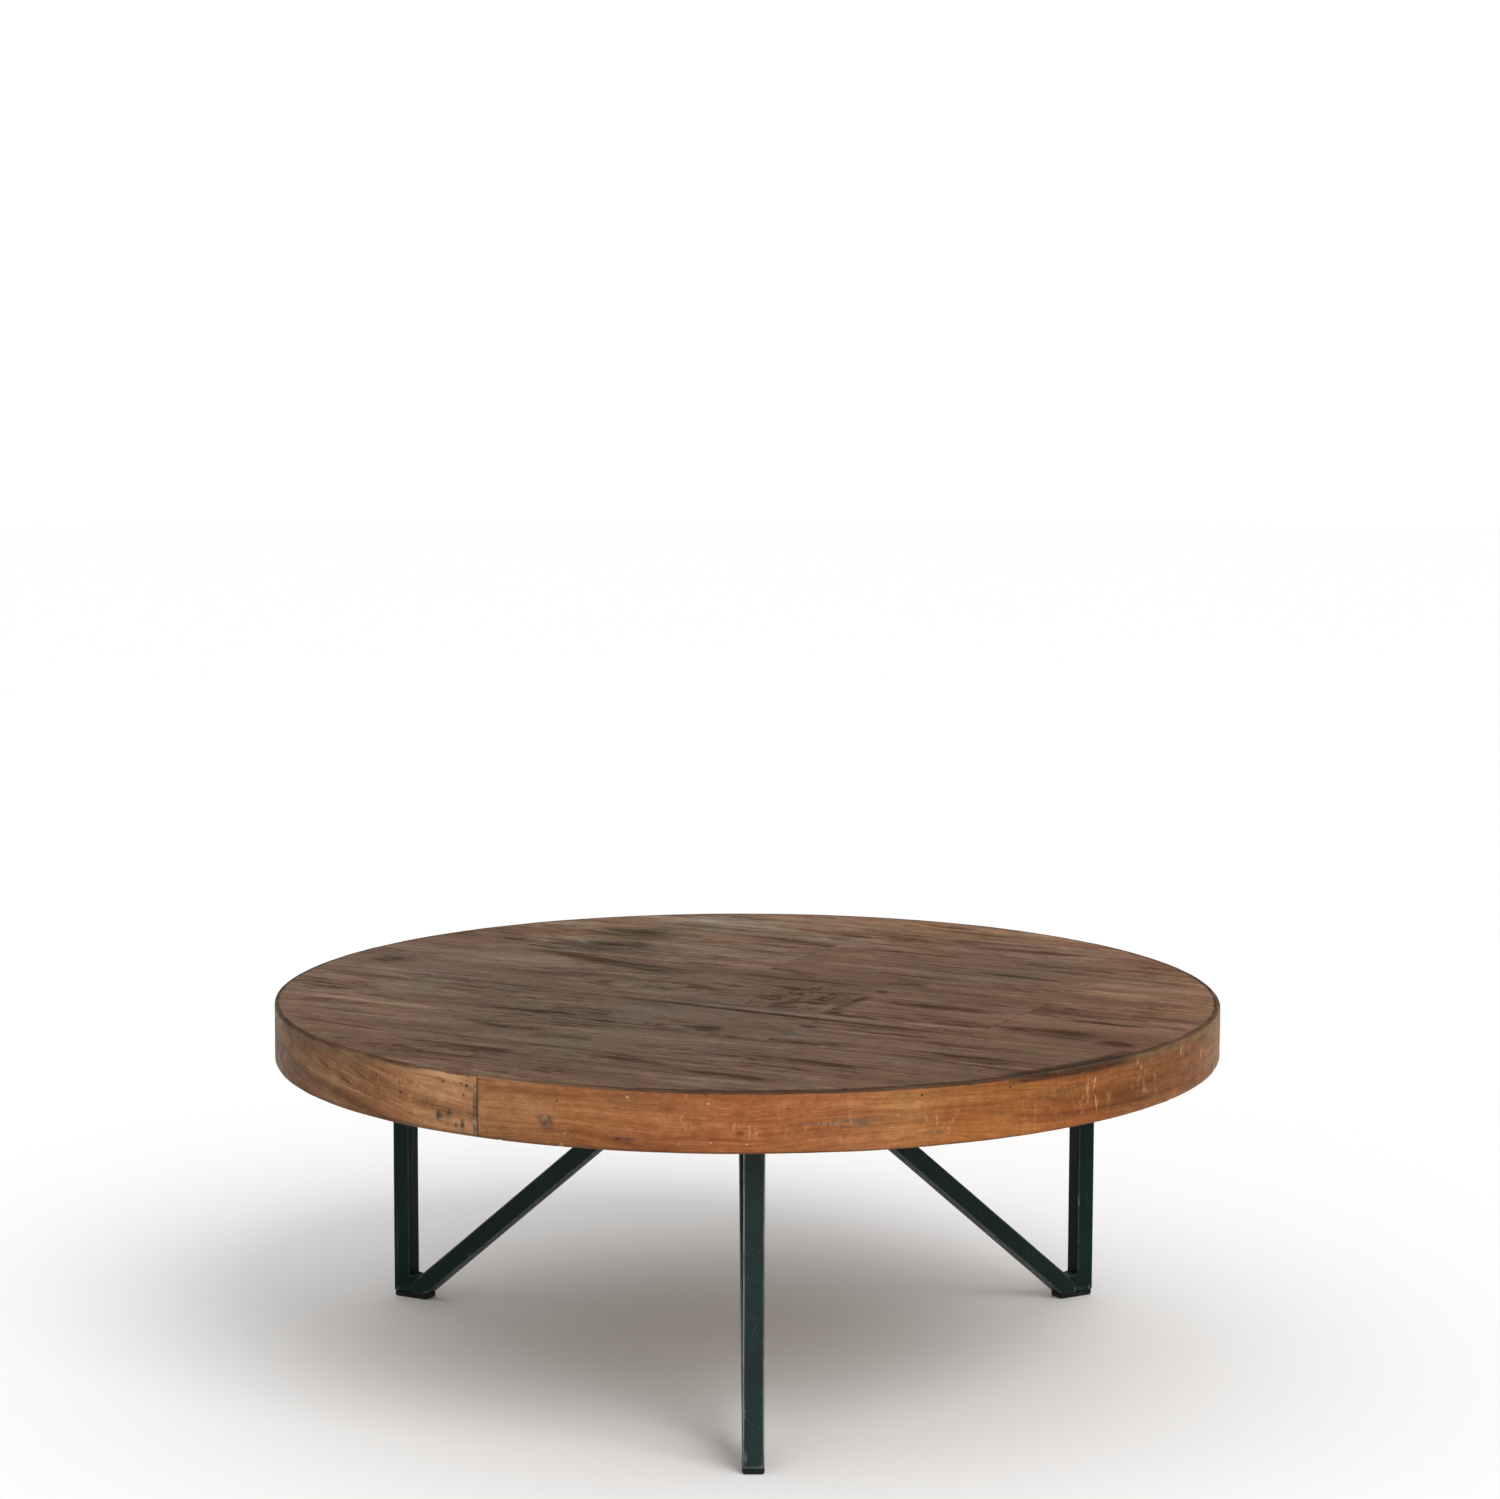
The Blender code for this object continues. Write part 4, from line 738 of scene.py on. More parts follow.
def pad_material():
    n = Net("foot_pad_plastic")
    peel = n.noise(n.P, (1400.0, 1400.0, 1400.0), (0, 0, 0), 2.0, 0.5)
    cloud = n.noise(n.P, (60.0, 60.0, 60.0), (2, 1, 3), 3.0, 0.6)
    col = n.ramp(n.lin(cloud, 0.3, 0.7), [(0.0, (0.0016, 0.0036, 0.0034)), (1.0, (0.0050, 0.0080, 0.0076))])
    low = n.step(n.sep(n.P)[2], 0.0022, 0.0)
    dust = n.mul(n.step(n.noise(n.P, (420.0, 420.0, 420.0), (4, 4, 4), 4.0, 0.7), 0.50, 0.68), n.add(n.mul(low, 0.3), 0.10))
    col = n.mix(dust, col, (0.070, 0.072, 0.066))
    return n.set(Base_Color=col, Roughness=n.lin(cloud, 0.3, 0.7, 0.46, 0.62), Specular_IOR_Level=0.22,
                 Normal=n.bump(peel, 0.0001, 0.5))


def screw_material():
    n = Net("screw_zinc")
    cloud = n.noise(n.P, (700.0, 700.0, 700.0), (1, 2, 3), 3.0, 0.6)
    brush = n.noise(n.P, (4200.0, 900.0, 900.0), (1, 2, 3), 2.0, 0.5)
    col = n.ramp(n.lin(cloud, 0.3, 0.7), [(0.0, (0.30, 0.285, 0.25)), (0.5, (0.47, 0.455, 0.42)), (1.0, (0.62, 0.60, 0.56))])
    stain = n.step(n.noise(n.P, (380.0, 380.0, 380.0), (7, 2, 3), 4.0, 0.7), 0.55, 0.72)
    col = n.mix(n.mul(stain, 0.6), col, (0.16, 0.10, 0.055))
    return n.set(Base_Color=col, Metallic=1.0, Roughness=n.lin(brush, 0.3, 0.7, 0.26, 0.46), Normal=n.bump(brush, 0.00005, 0.5))


# ----------------------------------------------------------------- mesh helpers
def mesh_object(name, verts, faces, mats, face_mat=None, edge=None, smooth_deg=40.0, matrix=None):
    me = bpy.data.meshes.new(name)
    me.from_pydata([tuple(map(float, v)) for v in verts], [], [tuple(f) for f in faces])
    if matrix is not None:
        me.transform(matrix)
    for m in mats:
        me.materials.append(m)
    if face_mat is not None:
        me.polygons.foreach_set("material_index", np.asarray(face_mat, np.int32))
    if edge is not None:
        at = me.attributes.new("edge", "FLOAT", "POINT")
        at.data.foreach_set("value", np.asarray(edge, np.float32))
    me.validate()
    me.update()
    me.shade_smooth()
    me.set_sharp_from_angle(angle=math.radians(smooth_deg))
    ob = bpy.data.objects.new(name, me)
    bpy.context.scene.collection.objects.link(ob)
    return ob


def piece(ob, slot, *nodes):
    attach(ob, "root")
    if nodes:
        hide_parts(*nodes)
    return ob


def inside(pts, poly):
    """Which points lie inside a closed outline."""
    x, y = pts[:, 0][:, None], pts[:, 1][:, None]
    a, b = poly, np.roll(poly, -1, 0)
    cond = (a[:, 1] > y) != (b[:, 1] > y)
    with np.errstate(divide="ignore", invalid="ignore"):
        xi = a[:, 0] + (y - a[:, 1]) * (b[:, 0] - a[:, 0]) / (b[:, 1] - a[:, 1])
    return (cond & (x < xi)).sum(1) % 2 == 1


def distance(pts, poly):
    a, b = poly, np.roll(poly, -1, 0)
    out = np.full(len(pts), 1e9)
    d = b - a
    l2 = np.maximum((d * d).sum(1), 1e-14)
    for k in range(0, len(pts), 2000):
        p = pts[k:k + 2000, None, :]
        t = np.clip(((p - a) * d).sum(2) / l2, 0, 1)
        q = a + t[..., None] * d
        out[k:k + 2000] = np.sqrt(((p - q) ** 2).sum(2)).min(1)
    return out


def dense(poly, step):
    """Closed outline with no stretch longer than step."""
    out = []
    for p, q in zip(poly, np.roll(poly, -1, 0)):
        n = max(1, int(math.ceil(np.hypot(*(q - p)) / step - 1e-6)))
        for i in range(n):
            out.append(p + (q - p) * i / n)
    return np.array(out)


def thin(poly, least):
    """The outline without points crowded closer than least; its corners stay."""
    e1 = poly - np.roll(poly, 1, 0)
    e2 = np.roll(poly, -1, 0) - poly
    turn = np.abs(np.arctan2(e1[:, 0] * e2[:, 1] - e1[:, 1] * e2[:, 0], (e1 * e2).sum(1)))
    out = []
    for p, t in zip(poly, turn):
        if out and math.dist(p, out[-1][0]) < least:
            if t > out[-1][1]:
                out[-1] = (p, t)
            continue
        out.append((p, t))
    while len(out) > 3 and math.dist(out[0][0], out[-1][0]) < least:
        out.pop(-1 if out[0][1] >= out[-1][1] else 0)
    return np.array([p for p, _ in out])


def inward(poly):
    """Offset direction of each point of a counter-clockwise outline."""
    e1 = poly - np.roll(poly, 1, 0)
    e2 = np.roll(poly, -1, 0) - poly
    e1 /= np.maximum(np.hypot(*e1.T), 1e-12)[:, None]
    e2 /= np.maximum(np.hypot(*e2.T), 1e-12)[:, None]
    n1 = np.c_[-e1[:, 1], e1[:, 0]]
    n2 = np.c_[-e2[:, 1], e2[:, 0]]
    m = (n1 + n2) / np.maximum(1 + (n1 * n2).sum(1), 0.18)[:, None]
    length = np.hypot(*m.T)
    return m * np.minimum(1.0, 2.2 / np.maximum(length, 1e-9))[:, None]


def fill(loop, pts):
    """Triangles on a loop and the points inside it, as indices into loop then pts."""
    n = len(loop)
    co = [Vector(p) for p in loop] + [Vector(p) for p in pts]
    edges = [(i, (i + 1) % n) for i in range(n)]
    vs, _, fs, orig, _, _ = delaunay_2d_cdt(co, edges, [], 1, 1e-7)
    around = np.asarray([tuple(p) for p in loop])
    first = [o[0] if o else int(np.hypot(*(around - np.array(tuple(v))).T).argmin()) for v, o in zip(vs, orig)]
    out = []
    for f in fs:
        k = [first[i] for i in f]
        if len(set(k)) == 3:
            a, b, c = (np.asarray(co[i]) for i in k)
            if (b[0] - a[0]) * (c[1] - a[1]) - (b[1] - a[1]) * (c[0] - a[0]) < 0:
                k = [k[0], k[2], k[1]]
            out.append(tuple(k))
    return out


def slab(name, outline, z0, z1, mats, ease, grid, relief, dirt, step=0.004, matrix=None, ease_low=0.0008):
    """A board on a closed outline: eased edges, a fine upper face that follows relief,
    and a lower face.  mats[0] is the upper face and the sides, mats[1] the lower face."""
    poly = thin(dense(np.asarray(outline, float), step), 0.0016)
    nrm = inward(poly)
    n = len(poly)
    e = np.array([ease(p) for p in poly])
    w = [dirt(p) for p in poly]
    verts, edge, faces, fmat = [], [], [], []

    def loop(inset, z, ed):
        base = len(verts)
        q = poly + nrm * np.asarray(inset).reshape(-1, 1)
        for (px, py), zz, k in zip(q, np.broadcast_to(z, (n,)), w):
            verts.append((px, py, zz))
            edge.append(ed * k)
        return base, q

    def strip(a, b, m):
        for i in range(n):
            j = (i + 1) % n
            faces.append((a + i, a + j, b + j, b + i))
            fmat.append(m)

    low = [loop(np.full(n, ease_low), z0, 0.6), loop(np.full(n, ease_low * 0.29), z0 + ease_low * 0.29, 1.0),
           loop(np.zeros(n), z0 + ease_low, 1.0)]
    strip(low[0][0], low[1][0], 1)
    strip(low[1][0], low[2][0], 0)
    tops = np.array([z1 - relief(px, py, 0.0) for px, py in poly])
    prev = low[2][0]
    for ph in (0.0, 30.0, 60.0, 90.0):
        c, s = math.cos(math.radians(ph)), math.sin(math.radians(ph))
        here, q = loop(e * (1 - c), tops - e * 0.8 * (1 - s), 1.0 if ph < 80 else 0.75)
        strip(prev, here, 0)
        prev = here
    inner, qin = prev, q
    lo, hi = qin.min(0), qin.max(0)
    xs = np.arange(lo[0] + grid[0] * 0.5, hi[0], grid[0])
    ys = np.arange(lo[1] + grid[1] * 0.5, hi[1], grid[1])
    g = np.array([(x, y) for j, y in enumerate(ys) for x in xs + (grid[0] * 0.5 if j % 2 else 0.0)])
    g = g[inside(g, qin)] if len(g) else g.reshape(0, 2)
    dist = distance(g, qin) if len(g) else np.zeros(0)
    g, dist = g[dist > grid[1] * 0.55], dist[dist > grid[1] * 0.55]
    start = len(verts)
    for (x, y), d in zip(g, dist):
        verts.append((x, y, z1 - relief(x, y, d)))
        edge.append(max(0.0, 0.30 * (1 - d / 0.0024)))
    for f in fill(qin, g):
        faces.append(tuple(inner + k if k < n else start + k - n for k in f))
        fmat.append(0)
    b0, bq = low[0]
    for f in fill(bq, np.zeros((0, 2))):
        faces.append(tuple(b0 + k for k in reversed(f)))
        fmat.append(1)
    return mesh_object(name, verts, faces, mats, fmat, edge, 50.0, matrix)


def keep_side(poly, nx, ny, d):
    out = []
    for i, p in enumerate(poly):
        q = poly[(i + 1) % len(poly)]
        sp, sq = nx * p[0] + ny * p[1] - d, nx * q[0] + ny * q[1] - d
        if sp <= 0:
            out.append(p)
        if (sp < 0 < sq) or (sq < 0 < sp):
            t = sp / (sp - sq)
            out.append((p[0] + t * (q[0] - p[0]), p[1] + t * (q[1] - p[1])))
    clean = []
    for p in out:
        if not clean or math.dist(p, clean[-1]) > 1e-5:
            clean.append(p)
    if math.dist(clean[0], clean[-1]) < 1e-5:
        clean.pop()
    return clean


# ------------------------------------------------------- line between top and rim
# how far the joint between planks and edge strip strays outwards, by azimuth in degrees
STRAY = ((-180, 3.0), (-165, 2.8), (-150, 3.4), (-140, 1.6), (-130, 3.2), (-120, 2.6), (-108, 0.2), (-96, -1.6),
         (-75, -2.0), (-62, -0.6), (-52, 0.6), (-42, -0.8), (-30, 0.4), (-18, 1.4), (0, 0.5), (25, -0.8), (50, 0.9),
         (80, -0.4), (110, 0.8), (140, -0.6), (160, 1.5), (180, 3.0))


def joint_r(deg):
    deg = (deg + 180.0) % 360.0 - 180.0
    for (a, p), (b, q) in zip(STRAY, STRAY[1:]):
        if a <= deg <= b:
            t = (deg - a) / (b - a)
            t = t * t * (3 - 2 * t)
            r = math.radians(deg)
            return CORE_R + (p + (q - p) * t) * 0.001 + 0.0004 * n3(math.cos(r) * 9, math.sin(r) * 9, 3.3)
    return CORE_R


# ----------------------------------------------------------------------- planks
def plank_relief(seed, vc, half, drop, dents=(), cracks=()):
    def relief(u, v, d):
        h = drop + 0.00014 * (1 + n3(u * 4, v * 15, seed)) + 0.00006 * (1 + n3(u * 9, v * 150, seed + 5))
        h += 0.00018 * min(1.0, abs((v - vc) / half)) ** 4
        for du, dv, dr, dd in dents:
            q = ((u - du) ** 2 + (v - dv) ** 2) / (dr * dr)
            if q < 1:
                h += dd * (1 - q) ** 2
        for u0, v0, u1, v1, w, dd in cracks:
            t = ((u - u0) * (u1 - u0) + (v - v0) * (v1 - v0)) / ((u1 - u0) ** 2 + (v1 - v0) ** 2)
            if -0.05 < t < 1.05:
                t = min(1, max(0, t))
                q = math.hypot(u - u0 - t * (u1 - u0), v - v0 - t * (v1 - v0)) / w
                if q < 1:
                    h += dd * (1 - q * q) * math.sin(math.pi * min(1, max(0, t * 0.96 + 0.02)))
        rr = math.hypot(u, v)
        if rr > TABLE_R - 0.016:
            k = (rr - (TABLE_R - 0.016)) / 0.010
            h += 0.0007 * min(1.0, k) ** 2
        return h
    return relief


LONG = (0.095, -0.0832 - 0.0251 * 0.095, 0.235, 0.0062, -0.0251)
# pale line along the far side of the long joint: a painted highlight
BEHIND_HIGHLIGHT = (0.070, -0.0832 - 0.0251 * 0.070 + 0.0118, 0.150, 0.0042, -0.0251, (0.235, 0.165, 0.110), 0.50)
PLANKS = {
    "a": dict(tone=1.03, warm=0.9, streak=0.5,
              darks=((-0.095, -0.352, 0.05, 0.012), (0.07, -0.33, 0.045, 0.010), (0.16, -0.345, 0.04, 0.012)),
              lines=((-0.257, -0.3145, 0.085, 0.0018, -0.176), (-0.10, -0.385, 0.07, 0.0016, 0.03))),
    "b": dict(tone=1.00, warm=0.7, streak=0.5,
              darks=((-0.12, -0.255, 0.045, 0.012, -0.25), (-0.32, -0.225, 0.03, 0.012), (0.21, -0.262, 0.06, 0.008),
                     (-0.05, -0.272, 0.03, 0.008)),
              lights=((0.03, -0.235, 0.09, 0.022, 0.0, (0.190, 0.140, 0.100), 0.35),)),
    "c1": dict(tone=0.98, warm=0.25, streak=0.35,
               darks=((-0.370, -0.160, 0.040, 0.030), (-0.15, -0.178, 0.045, 0.009), (0.050, -0.175, 0.014, 0.022)),
               lights=((-0.2475, -0.141, 0.045, 0.014, 0.0, (0.165, 0.150, 0.132), 0.40),
                       (-0.02, -0.128, 0.08, 0.022, 0.0, (0.140, 0.122, 0.092), 0.40)),
               lines=(LONG, (-0.02, -0.187, 0.08, 0.0014, 0.02))),
    "c2": dict(tone=1.00, warm=0.5, streak=0.7,
               darks=((0.147, -0.189, 0.032, 0.013), (0.1290, -0.1220, 0.0070, 0.0095), (0.30, -0.135, 0.07, 0.010), (0.20, -0.118, 0.05, 0.008),
                      (0.335, -0.180, 0.06, 0.016)),
               lights=((0.135, -0.155, 0.028, 0.026, 0.0, (0.130, 0.128, 0.105), 0.40),
                       (0.24, -0.160, 0.09, 0.012, 0.0, (0.220, 0.155, 0.120), 0.40)),
               lines=(LONG, (0.245, -0.1945, 0.07, 0.0018), (0.28, -0.152, 0.06, 0.0014, 0.02))),
    "d1": dict(tone=0.95, warm=0.10, streak=0.35, knots=((-0.1065, -0.019, 0.075, 0.040),),
               darks=((-0.157, 0.056, 0.055, 0.026), (-0.395, -0.019, 0.020, 0.026), (-0.20, 0.075, 0.11, 0.014, -0.27),
                      (0.02, 0.080, 0.06, 0.009), (0.0312, 0.0341, 0.0100, 0.0085, 0.0, 0.88), (0.0757, 0.0296, 0.0075, 0.0095, 0.0, 0.88),
                      (0.0509, -0.0369, 0.0065, 0.0085, 0.0, 0.88), (0.0566, 0.0294, 0.0050, 0.0075, 0.0, 0.66),
                      (0.0819, -0.0199, 0.0060, 0.0075, 0.0, 0.66), (0.0640, 0.0679, 0.0120, 0.0048, 0.0, 0.50),
                      (0.0909, -0.0448, 0.0060, 0.0050, 0.0, 0.60), (0.0350, -0.0102, 0.0070, 0.0056, 0.0, 0.56),
                      (0.0642, -0.0296, 0.0046, 0.0060, 0.0, 0.60), (0.0476, 0.0172, 0.0050, 0.0068, 0.0, 0.60)),
               hatch=((0.0590, 0.000, 0.050, 0.074),),
               lines=(LONG, (-0.2035, 0.087, 0.088, 0.0024, -0.279), (-0.30, -0.055, 0.06, 0.0016, 0.02)),
               lights=((-0.30, 0.020, 0.07, 0.020, 0.0, (0.200, 0.152, 0.110), 0.40), BEHIND_HIGHLIGHT)),
    "d2": dict(tone=0.98, warm=0.55, streak=0.7,
               darks=((0.1120, -0.003, 0.0050, 0.078, 0.0, 0.50), (0.1110, 0.0178, 0.0085, 0.0135, 0.0, 0.92),
                      (0.1130, 0.0600, 0.0065, 0.0090, 0.0, 0.84), (0.1190, -0.0506, 0.0090, 0.0105, 0.0, 0.90), (0.20, 0.018, 0.06, 0.014), (0.22, -0.045, 0.06, 0.016),
                      (0.150, -0.060, 0.05, 0.010)),
               lights=(BEHIND_HIGHLIGHT,),
               lines=(LONG, (0.20, -0.022, 0.055, 0.0016), (0.215, 0.052, 0.05, 0.0014))),
    "d3": dict(tone=0.97, warm=0.58, streak=0.7, knots=((0.418, -0.058, 0.012, 0.012),),
               darks=((0.3666, 0.022, 0.034, 0.0085, 0.0, 0.90), (0.33, -0.040, 0.060, 0.024), (0.41, -0.058, 0.022, 0.016)),
               lines=(LONG, (0.294, -0.040, 0.028, 0.0024, -0.33), (0.35, -0.030, 0.05, 0.0016, -0.12),
                      (0.36, -0.056, 0.045, 0.0016, -0.05))),
    "e1": dict(tone=1.03, warm=0.20, streak=0.4, knots=((-0.2475, 0.236, 0.034, 0.020), (-0.241, 0.163, 0.030, 0.022)),
               greens=((-0.2475, 0.238, 0.058, 0.034), (-0.240, 0.163, 0.048, 0.040)),
               darks=((-0.255, 0.215, 0.06, 0.012, 0.0, 0.84), (-0.230, 0.150, 0.045, 0.032, 0.0, 0.84), (-0.065, 0.262, 0.038, 0.013, 0.0, 0.90)),
               lines=((-0.10, 0.272, 0.055, 0.0020),)),
    "e2": dict(tone=1.04, warm=0.40, streak=0.5,
               darks=((0.05, 0.262, 0.045, 0.009), (0.20, 0.195, 0.06, 0.009), (0.12, 0.150, 0.05, 0.008)),
               greens=((0.113, 0.106, 0.028, 0.020),),
               lines=((0.12, 0.214, 0.07, 0.0014, 0.01),)),
    "f": dict(tone=1.10, warm=0.15, streak=0.5,
              darks=((-0.044, 0.332, 0.080, 0.028), (0.16, 0.325, 0.05, 0.010)),
              lines=((0.05, 0.352, 0.06, 0.0016),)),
    "g": dict(tone=1.16, warm=0.15, streak=0.5, darks=((0.05, 0.395, 0.05, 0.012), (0.02, 0.415, 0.03, 0.008)),
              lines=((-0.07, 0.392, 0.05, 0.0014),)),
}


def long_joint(p):
    """1 on the open stretch of the long joint in front of the middle boards."""
    if abs(p[1] - ROW_EDGES[3] - ROW_SLOPES[3] * p[0]) > 0.001:
        return 0.0
    return max(0.0, min(1.0, (p[0] + 0.19) / 0.05, (0.34 - p[0]) / 0.05))


def build_planks():
    gm = Matrix.Rotation(math.radians(GRAIN_DEG), 4, "Z")
    circle = []
    for i in range(720):
        deg = i * 0.5
        r = joint_r(deg) - GAP / 2
        a = math.radians(deg - GRAIN_DEG)
        circle.append((r * math.cos(a), r * math.sin(a)))
    hg = GAP / 2
    k = 0
    rng = np.random.RandomState(11)
    for row, (v0, v1) in enumerate(zip(ROW_EDGES, ROW_EDGES[1:])):
        cuts = (-0.6,) + ROW_CUTS[row] + (0.6,)
        for i, (u0, u1) in enumerate(zip(cuts, cuts[1:])):
            tag = ROW_NAMES[row] + (str(i + 1) if len(cuts) > 2 else "")
            poly = keep_side(circle, -1, 0, -(u0 + hg))
            poly = keep_side(poly, 1, 0, u1 - hg)
            poly = keep_side(poly, ROW_SLOPES[row], -1, -(v0 + hg))
            poly = keep_side(poly, -ROW_SLOPES[row + 1], 1, v1 - hg)
            seed = 3.0 + k * 7.7
            spec = PLANKS[tag]
            mat = plank_material("plank_" + tag, 1.0 + k * 1.37, **spec)
            raw = raw_material("plank_under_" + tag, 2.0 + k, GU, 0.90 + 0.04 * (k % 4))
            us = np.array(poly)
            lo, hi = us.min(0), us.max(0)
            dents = [(rng.uniform(lo[0], hi[0]), rng.uniform(lo[1], hi[1]), rng.uniform(0.004, 0.012),
                      rng.uniform(0.0002, 0.0006)) for _ in range(10)]
            cracks = [(p[0] - p[2], p[1] - (p[4] if len(p) > 4 else 0) * p[2], p[0] + p[2],
                       p[1] + (p[4] if len(p) > 4 else 0) * p[2], 0.0032, 0.0007)
                      for p in spec.get("lines", ()) if p is not LONG]
            relief = plank_relief(seed, (v0 + v1) / 2, (v1 - v0) / 2, rng.uniform(0.00002, 0.00030), dents, cracks)

            def ease(p, s=seed, ends=(u0, u1)):
                if any(abs(p[0] - c) < 0.0008 for c in ends):
                    return (0.00006 if p[0] > 0.2 else 0.00020) + 0.0003 * max(0.0, n3(p[0] * 60, p[1] * 60, s + 2))
                e = 0.00036 + 0.00016 * n3(p[0] * 22, p[1] * 22, s) + 0.0006 * max(0.0, n3(p[0] * 60, p[1] * 60, s + 2))
                return e + 0.0011 * long_joint(p)

            def dirt(p, s=seed, ends=(u0, u1)):
                if any(abs(p[0] - c) < 0.0008 for c in ends):
                    return 0.05 if p[0] > 0.2 else 0.34
                return 0.50 - 0.10 * long_joint(p) + (0.35 if math.hypot(p[0], p[1]) > CORE_R - 0.004 else 0.0)

            ob = slab("plank_" + tag, poly, Z_PLANK, Z_TOP, [mat, raw], ease, (0.0044, 0.0021), relief, dirt, matrix=gm)
            piece(ob, "plank_wood", "top_plank_" + tag)
            k += 1


# ------------------------------------------------------------------- edge strips
def low_z(deg):
    r = math.radians(deg)
    return Z_UNDER - 0.0006 + 0.0020 * math.cos(r) + 0.00025 * n3(math.cos(r) * 6, math.sin(r) * 6, 8.1)


def build_strip(k, a0, a1, mat, raw):
    step = 0.25
    half_gap = math.degrees(GAP / 2 / TABLE_R)
    a0, a1 = a0 + half_gap, a1 - half_gap
    mm = math.degrees(0.001 / TABLE_R)
    n = int(round((a1 - a0) / step))
    degs = sorted(set([a0, a0 + 0.12 * mm, a0 + 0.35 * mm, a0 + 0.8 * mm] +
                      [a0 + (a1 - a0) * i / n for i in range(1, n)] +
                      [a1 - 0.8 * mm, a1 - 0.35 * mm, a1 - 0.12 * mm, a1]))
    verts, edge, faces, fmat = [], [], [], []
    rows = []
    r_in = TABLE_R - EDGE_T
    for deg in degs:
        r = math.radians(deg)
        cx, sx = math.cos(r), math.sin(r)
        away = min(deg - a0, a1 - deg) / mm            # millimetres from the nearer end
        pull = 0.0007 * (1 - min(1.0, away / 0.8)) ** 2
        rt = joint_r(deg) + GAP / 2
        zt = Z_TOP - 0.0010 - 0.00012 * n3(cx * 8, sx * 8, 5.0)
        zl = low_z(deg)
        ru = 0.0042 + 0.0007 * n3(cx * 14, sx * 14, 1.0) + 0.0006 * max(0.0, n3(cx * 40, sx * 40, 2.0))
        ru = min(ru, TABLE_R - rt - 0.0006)
        rl = 0.0026 + 0.0006 * n3(cx * 17, sx * 17, 6.0)
        chip = max(0.0, n3(cx * 46, sx * 46, 9.0) - 0.38) * 0.0065
        rl += chip
        wave = lambda z: TABLE_R - 0.0005 + 0.00028 * n3(cx * 7 + 3, sx * 7, z * 30) + \
            0.00009 * n3(cx * 40, sx * 40, z * 260)
        prof = []
        top_in = rt + pull * 0.4
        for i in range(3):
            t = i / 3
            prof.append((top_in + (TABLE_R - ru - top_in) * t, zt - 0.0006 * (1 - t) ** 4 - pull * 0.5, 0.85 if i == 0 else 0.2))
        for i in range(9):
            ph = math.radians(90 - 90 * i / 8)
            ro = wave(zt - ru) - pull
            prof.append((ro - ru + ru * math.cos(ph), zt - ru + ru * math.sin(ph) - pull * 0.5 * math.sin(ph), 0.1))
        z_hi, z_lo = zt - ru, zl + rl
        for i in range(1, 24):
            z = z_hi + (z_lo - z_hi) * i / 24
            prof.append((wave(z) - pull, z, 0.0))
        for i in range(8):
            ph = math.radians(-90 * i / 7)
            ro = wave(z_lo) - pull
            prof.append((ro - rl + rl * math.cos(ph), z_lo + rl * math.sin(ph), 0.0))
        prof.append((r_in + 0.0006, zl, 0.0))
        prof.append((r_in, zl + 0.0006, 0.0))
        prof.append((r_in, Z_PLANK, 0.0))
        prof.append((rt, Z_PLANK + 0.002, 0.0))
        prof.append((rt, zt - 0.0012, 1.0))
        e_end = max(0.0, 1 - away / 0.9)
        rows.append([len(verts) + i for i in range(len(prof))])
        for rr, zz, ed in prof:
            verts.append((rr * cx, rr * sx, zz))
            edge.append(max(ed if ed > 0.3 else 0.0, e_end))
    m = len(rows[0])
    for r0, r1 in zip(rows, rows[1:]):
        for i in range(m):
            j = (i + 1) % m
            faces.append((r0[i], r0[j], r1[j], r1[i]))
            fmat.append(1 if i >= m - 5 and i < m - 1 else 0)
    faces.append(tuple(reversed(rows[0])))
    faces.append(tuple(rows[-1]))
    fmat += [1, 1]
    ob = mesh_object("rim_strip_%d" % k, verts, faces, [mat, raw], fmat, edge, 50.0)
    ob.data.update()
    return ob


def build_rim():
    joints = list(EDGE_JOINTS_DEG) + [EDGE_JOINTS_DEG[0] + 360]
    for k in range(3):
        mid = (joints[k] + joints[k + 1]) / 2
        mat = rim_material("rim_%d" % (k + 1), 1.0 + 2.3 * k, mid, (1.0, 0.97, 0.98)[k], (0.0, 0.15, 0.25)[k],
                           (0.0, 0.02, 0.10)[k], (1.0, 1.1, 1.25)[k], (front_strip, None, left_strip)[k],
                           (front_arris, None, left_arris)[k])
        raw = raw_material("rim_back_%d" % (k + 1), 21.0 + k, polar=True, tone=0.95) if k < 2 else \
            raw_material("rim_back_3", 23.0, (0.0, 1.0, 0.0), 0.95)
        ob = build_strip(k + 1, joints[k], joints[k + 1], mat, raw)
        piece(ob, "edge_wood", "edge_strip_%d" % (k + 1))


# ------------------------------------------------------------------------- legs
def section(half, r, flat=5, corner=6):
    """Rounded square, counter-clockwise, with 1 along its corners."""
    pts, ed = [], []
    for k, (cx, cy) in enumerate(((1, 1), (-1, 1), (-1, -1), (1, -1))):
        for i in range(corner + 1):
            a = math.radians(90 * k + 90 * i / corner)
            pts.append((cx * (half - r) + r * math.cos(a), cy * (half - r) + r * math.sin(a)))
            ed.append(0.55 + 0.45 * math.sin(math.pi * i / corner))
        nx, ny = ((-1, 1), (-1, -1), (1, -1), (1, 1))[k]
        p = pts[-1]
        b = math.radians(90 * (k + 1))
        q = (nx * (half - r) + r * math.cos(b), ny * (half - r) + r * math.sin(b))
        for i in range(1, flat):
            t = i / flat
            pts.append((p[0] + (q[0] - p[0]) * t, p[1] + (q[1] - p[1]) * t))
            d = min(t, 1 - t) * 2 * (half - r)
            ed.append(max(0.0, 0.5 * (1 - d / 0.0016)))
    return np.array(pts), np.array(ed)


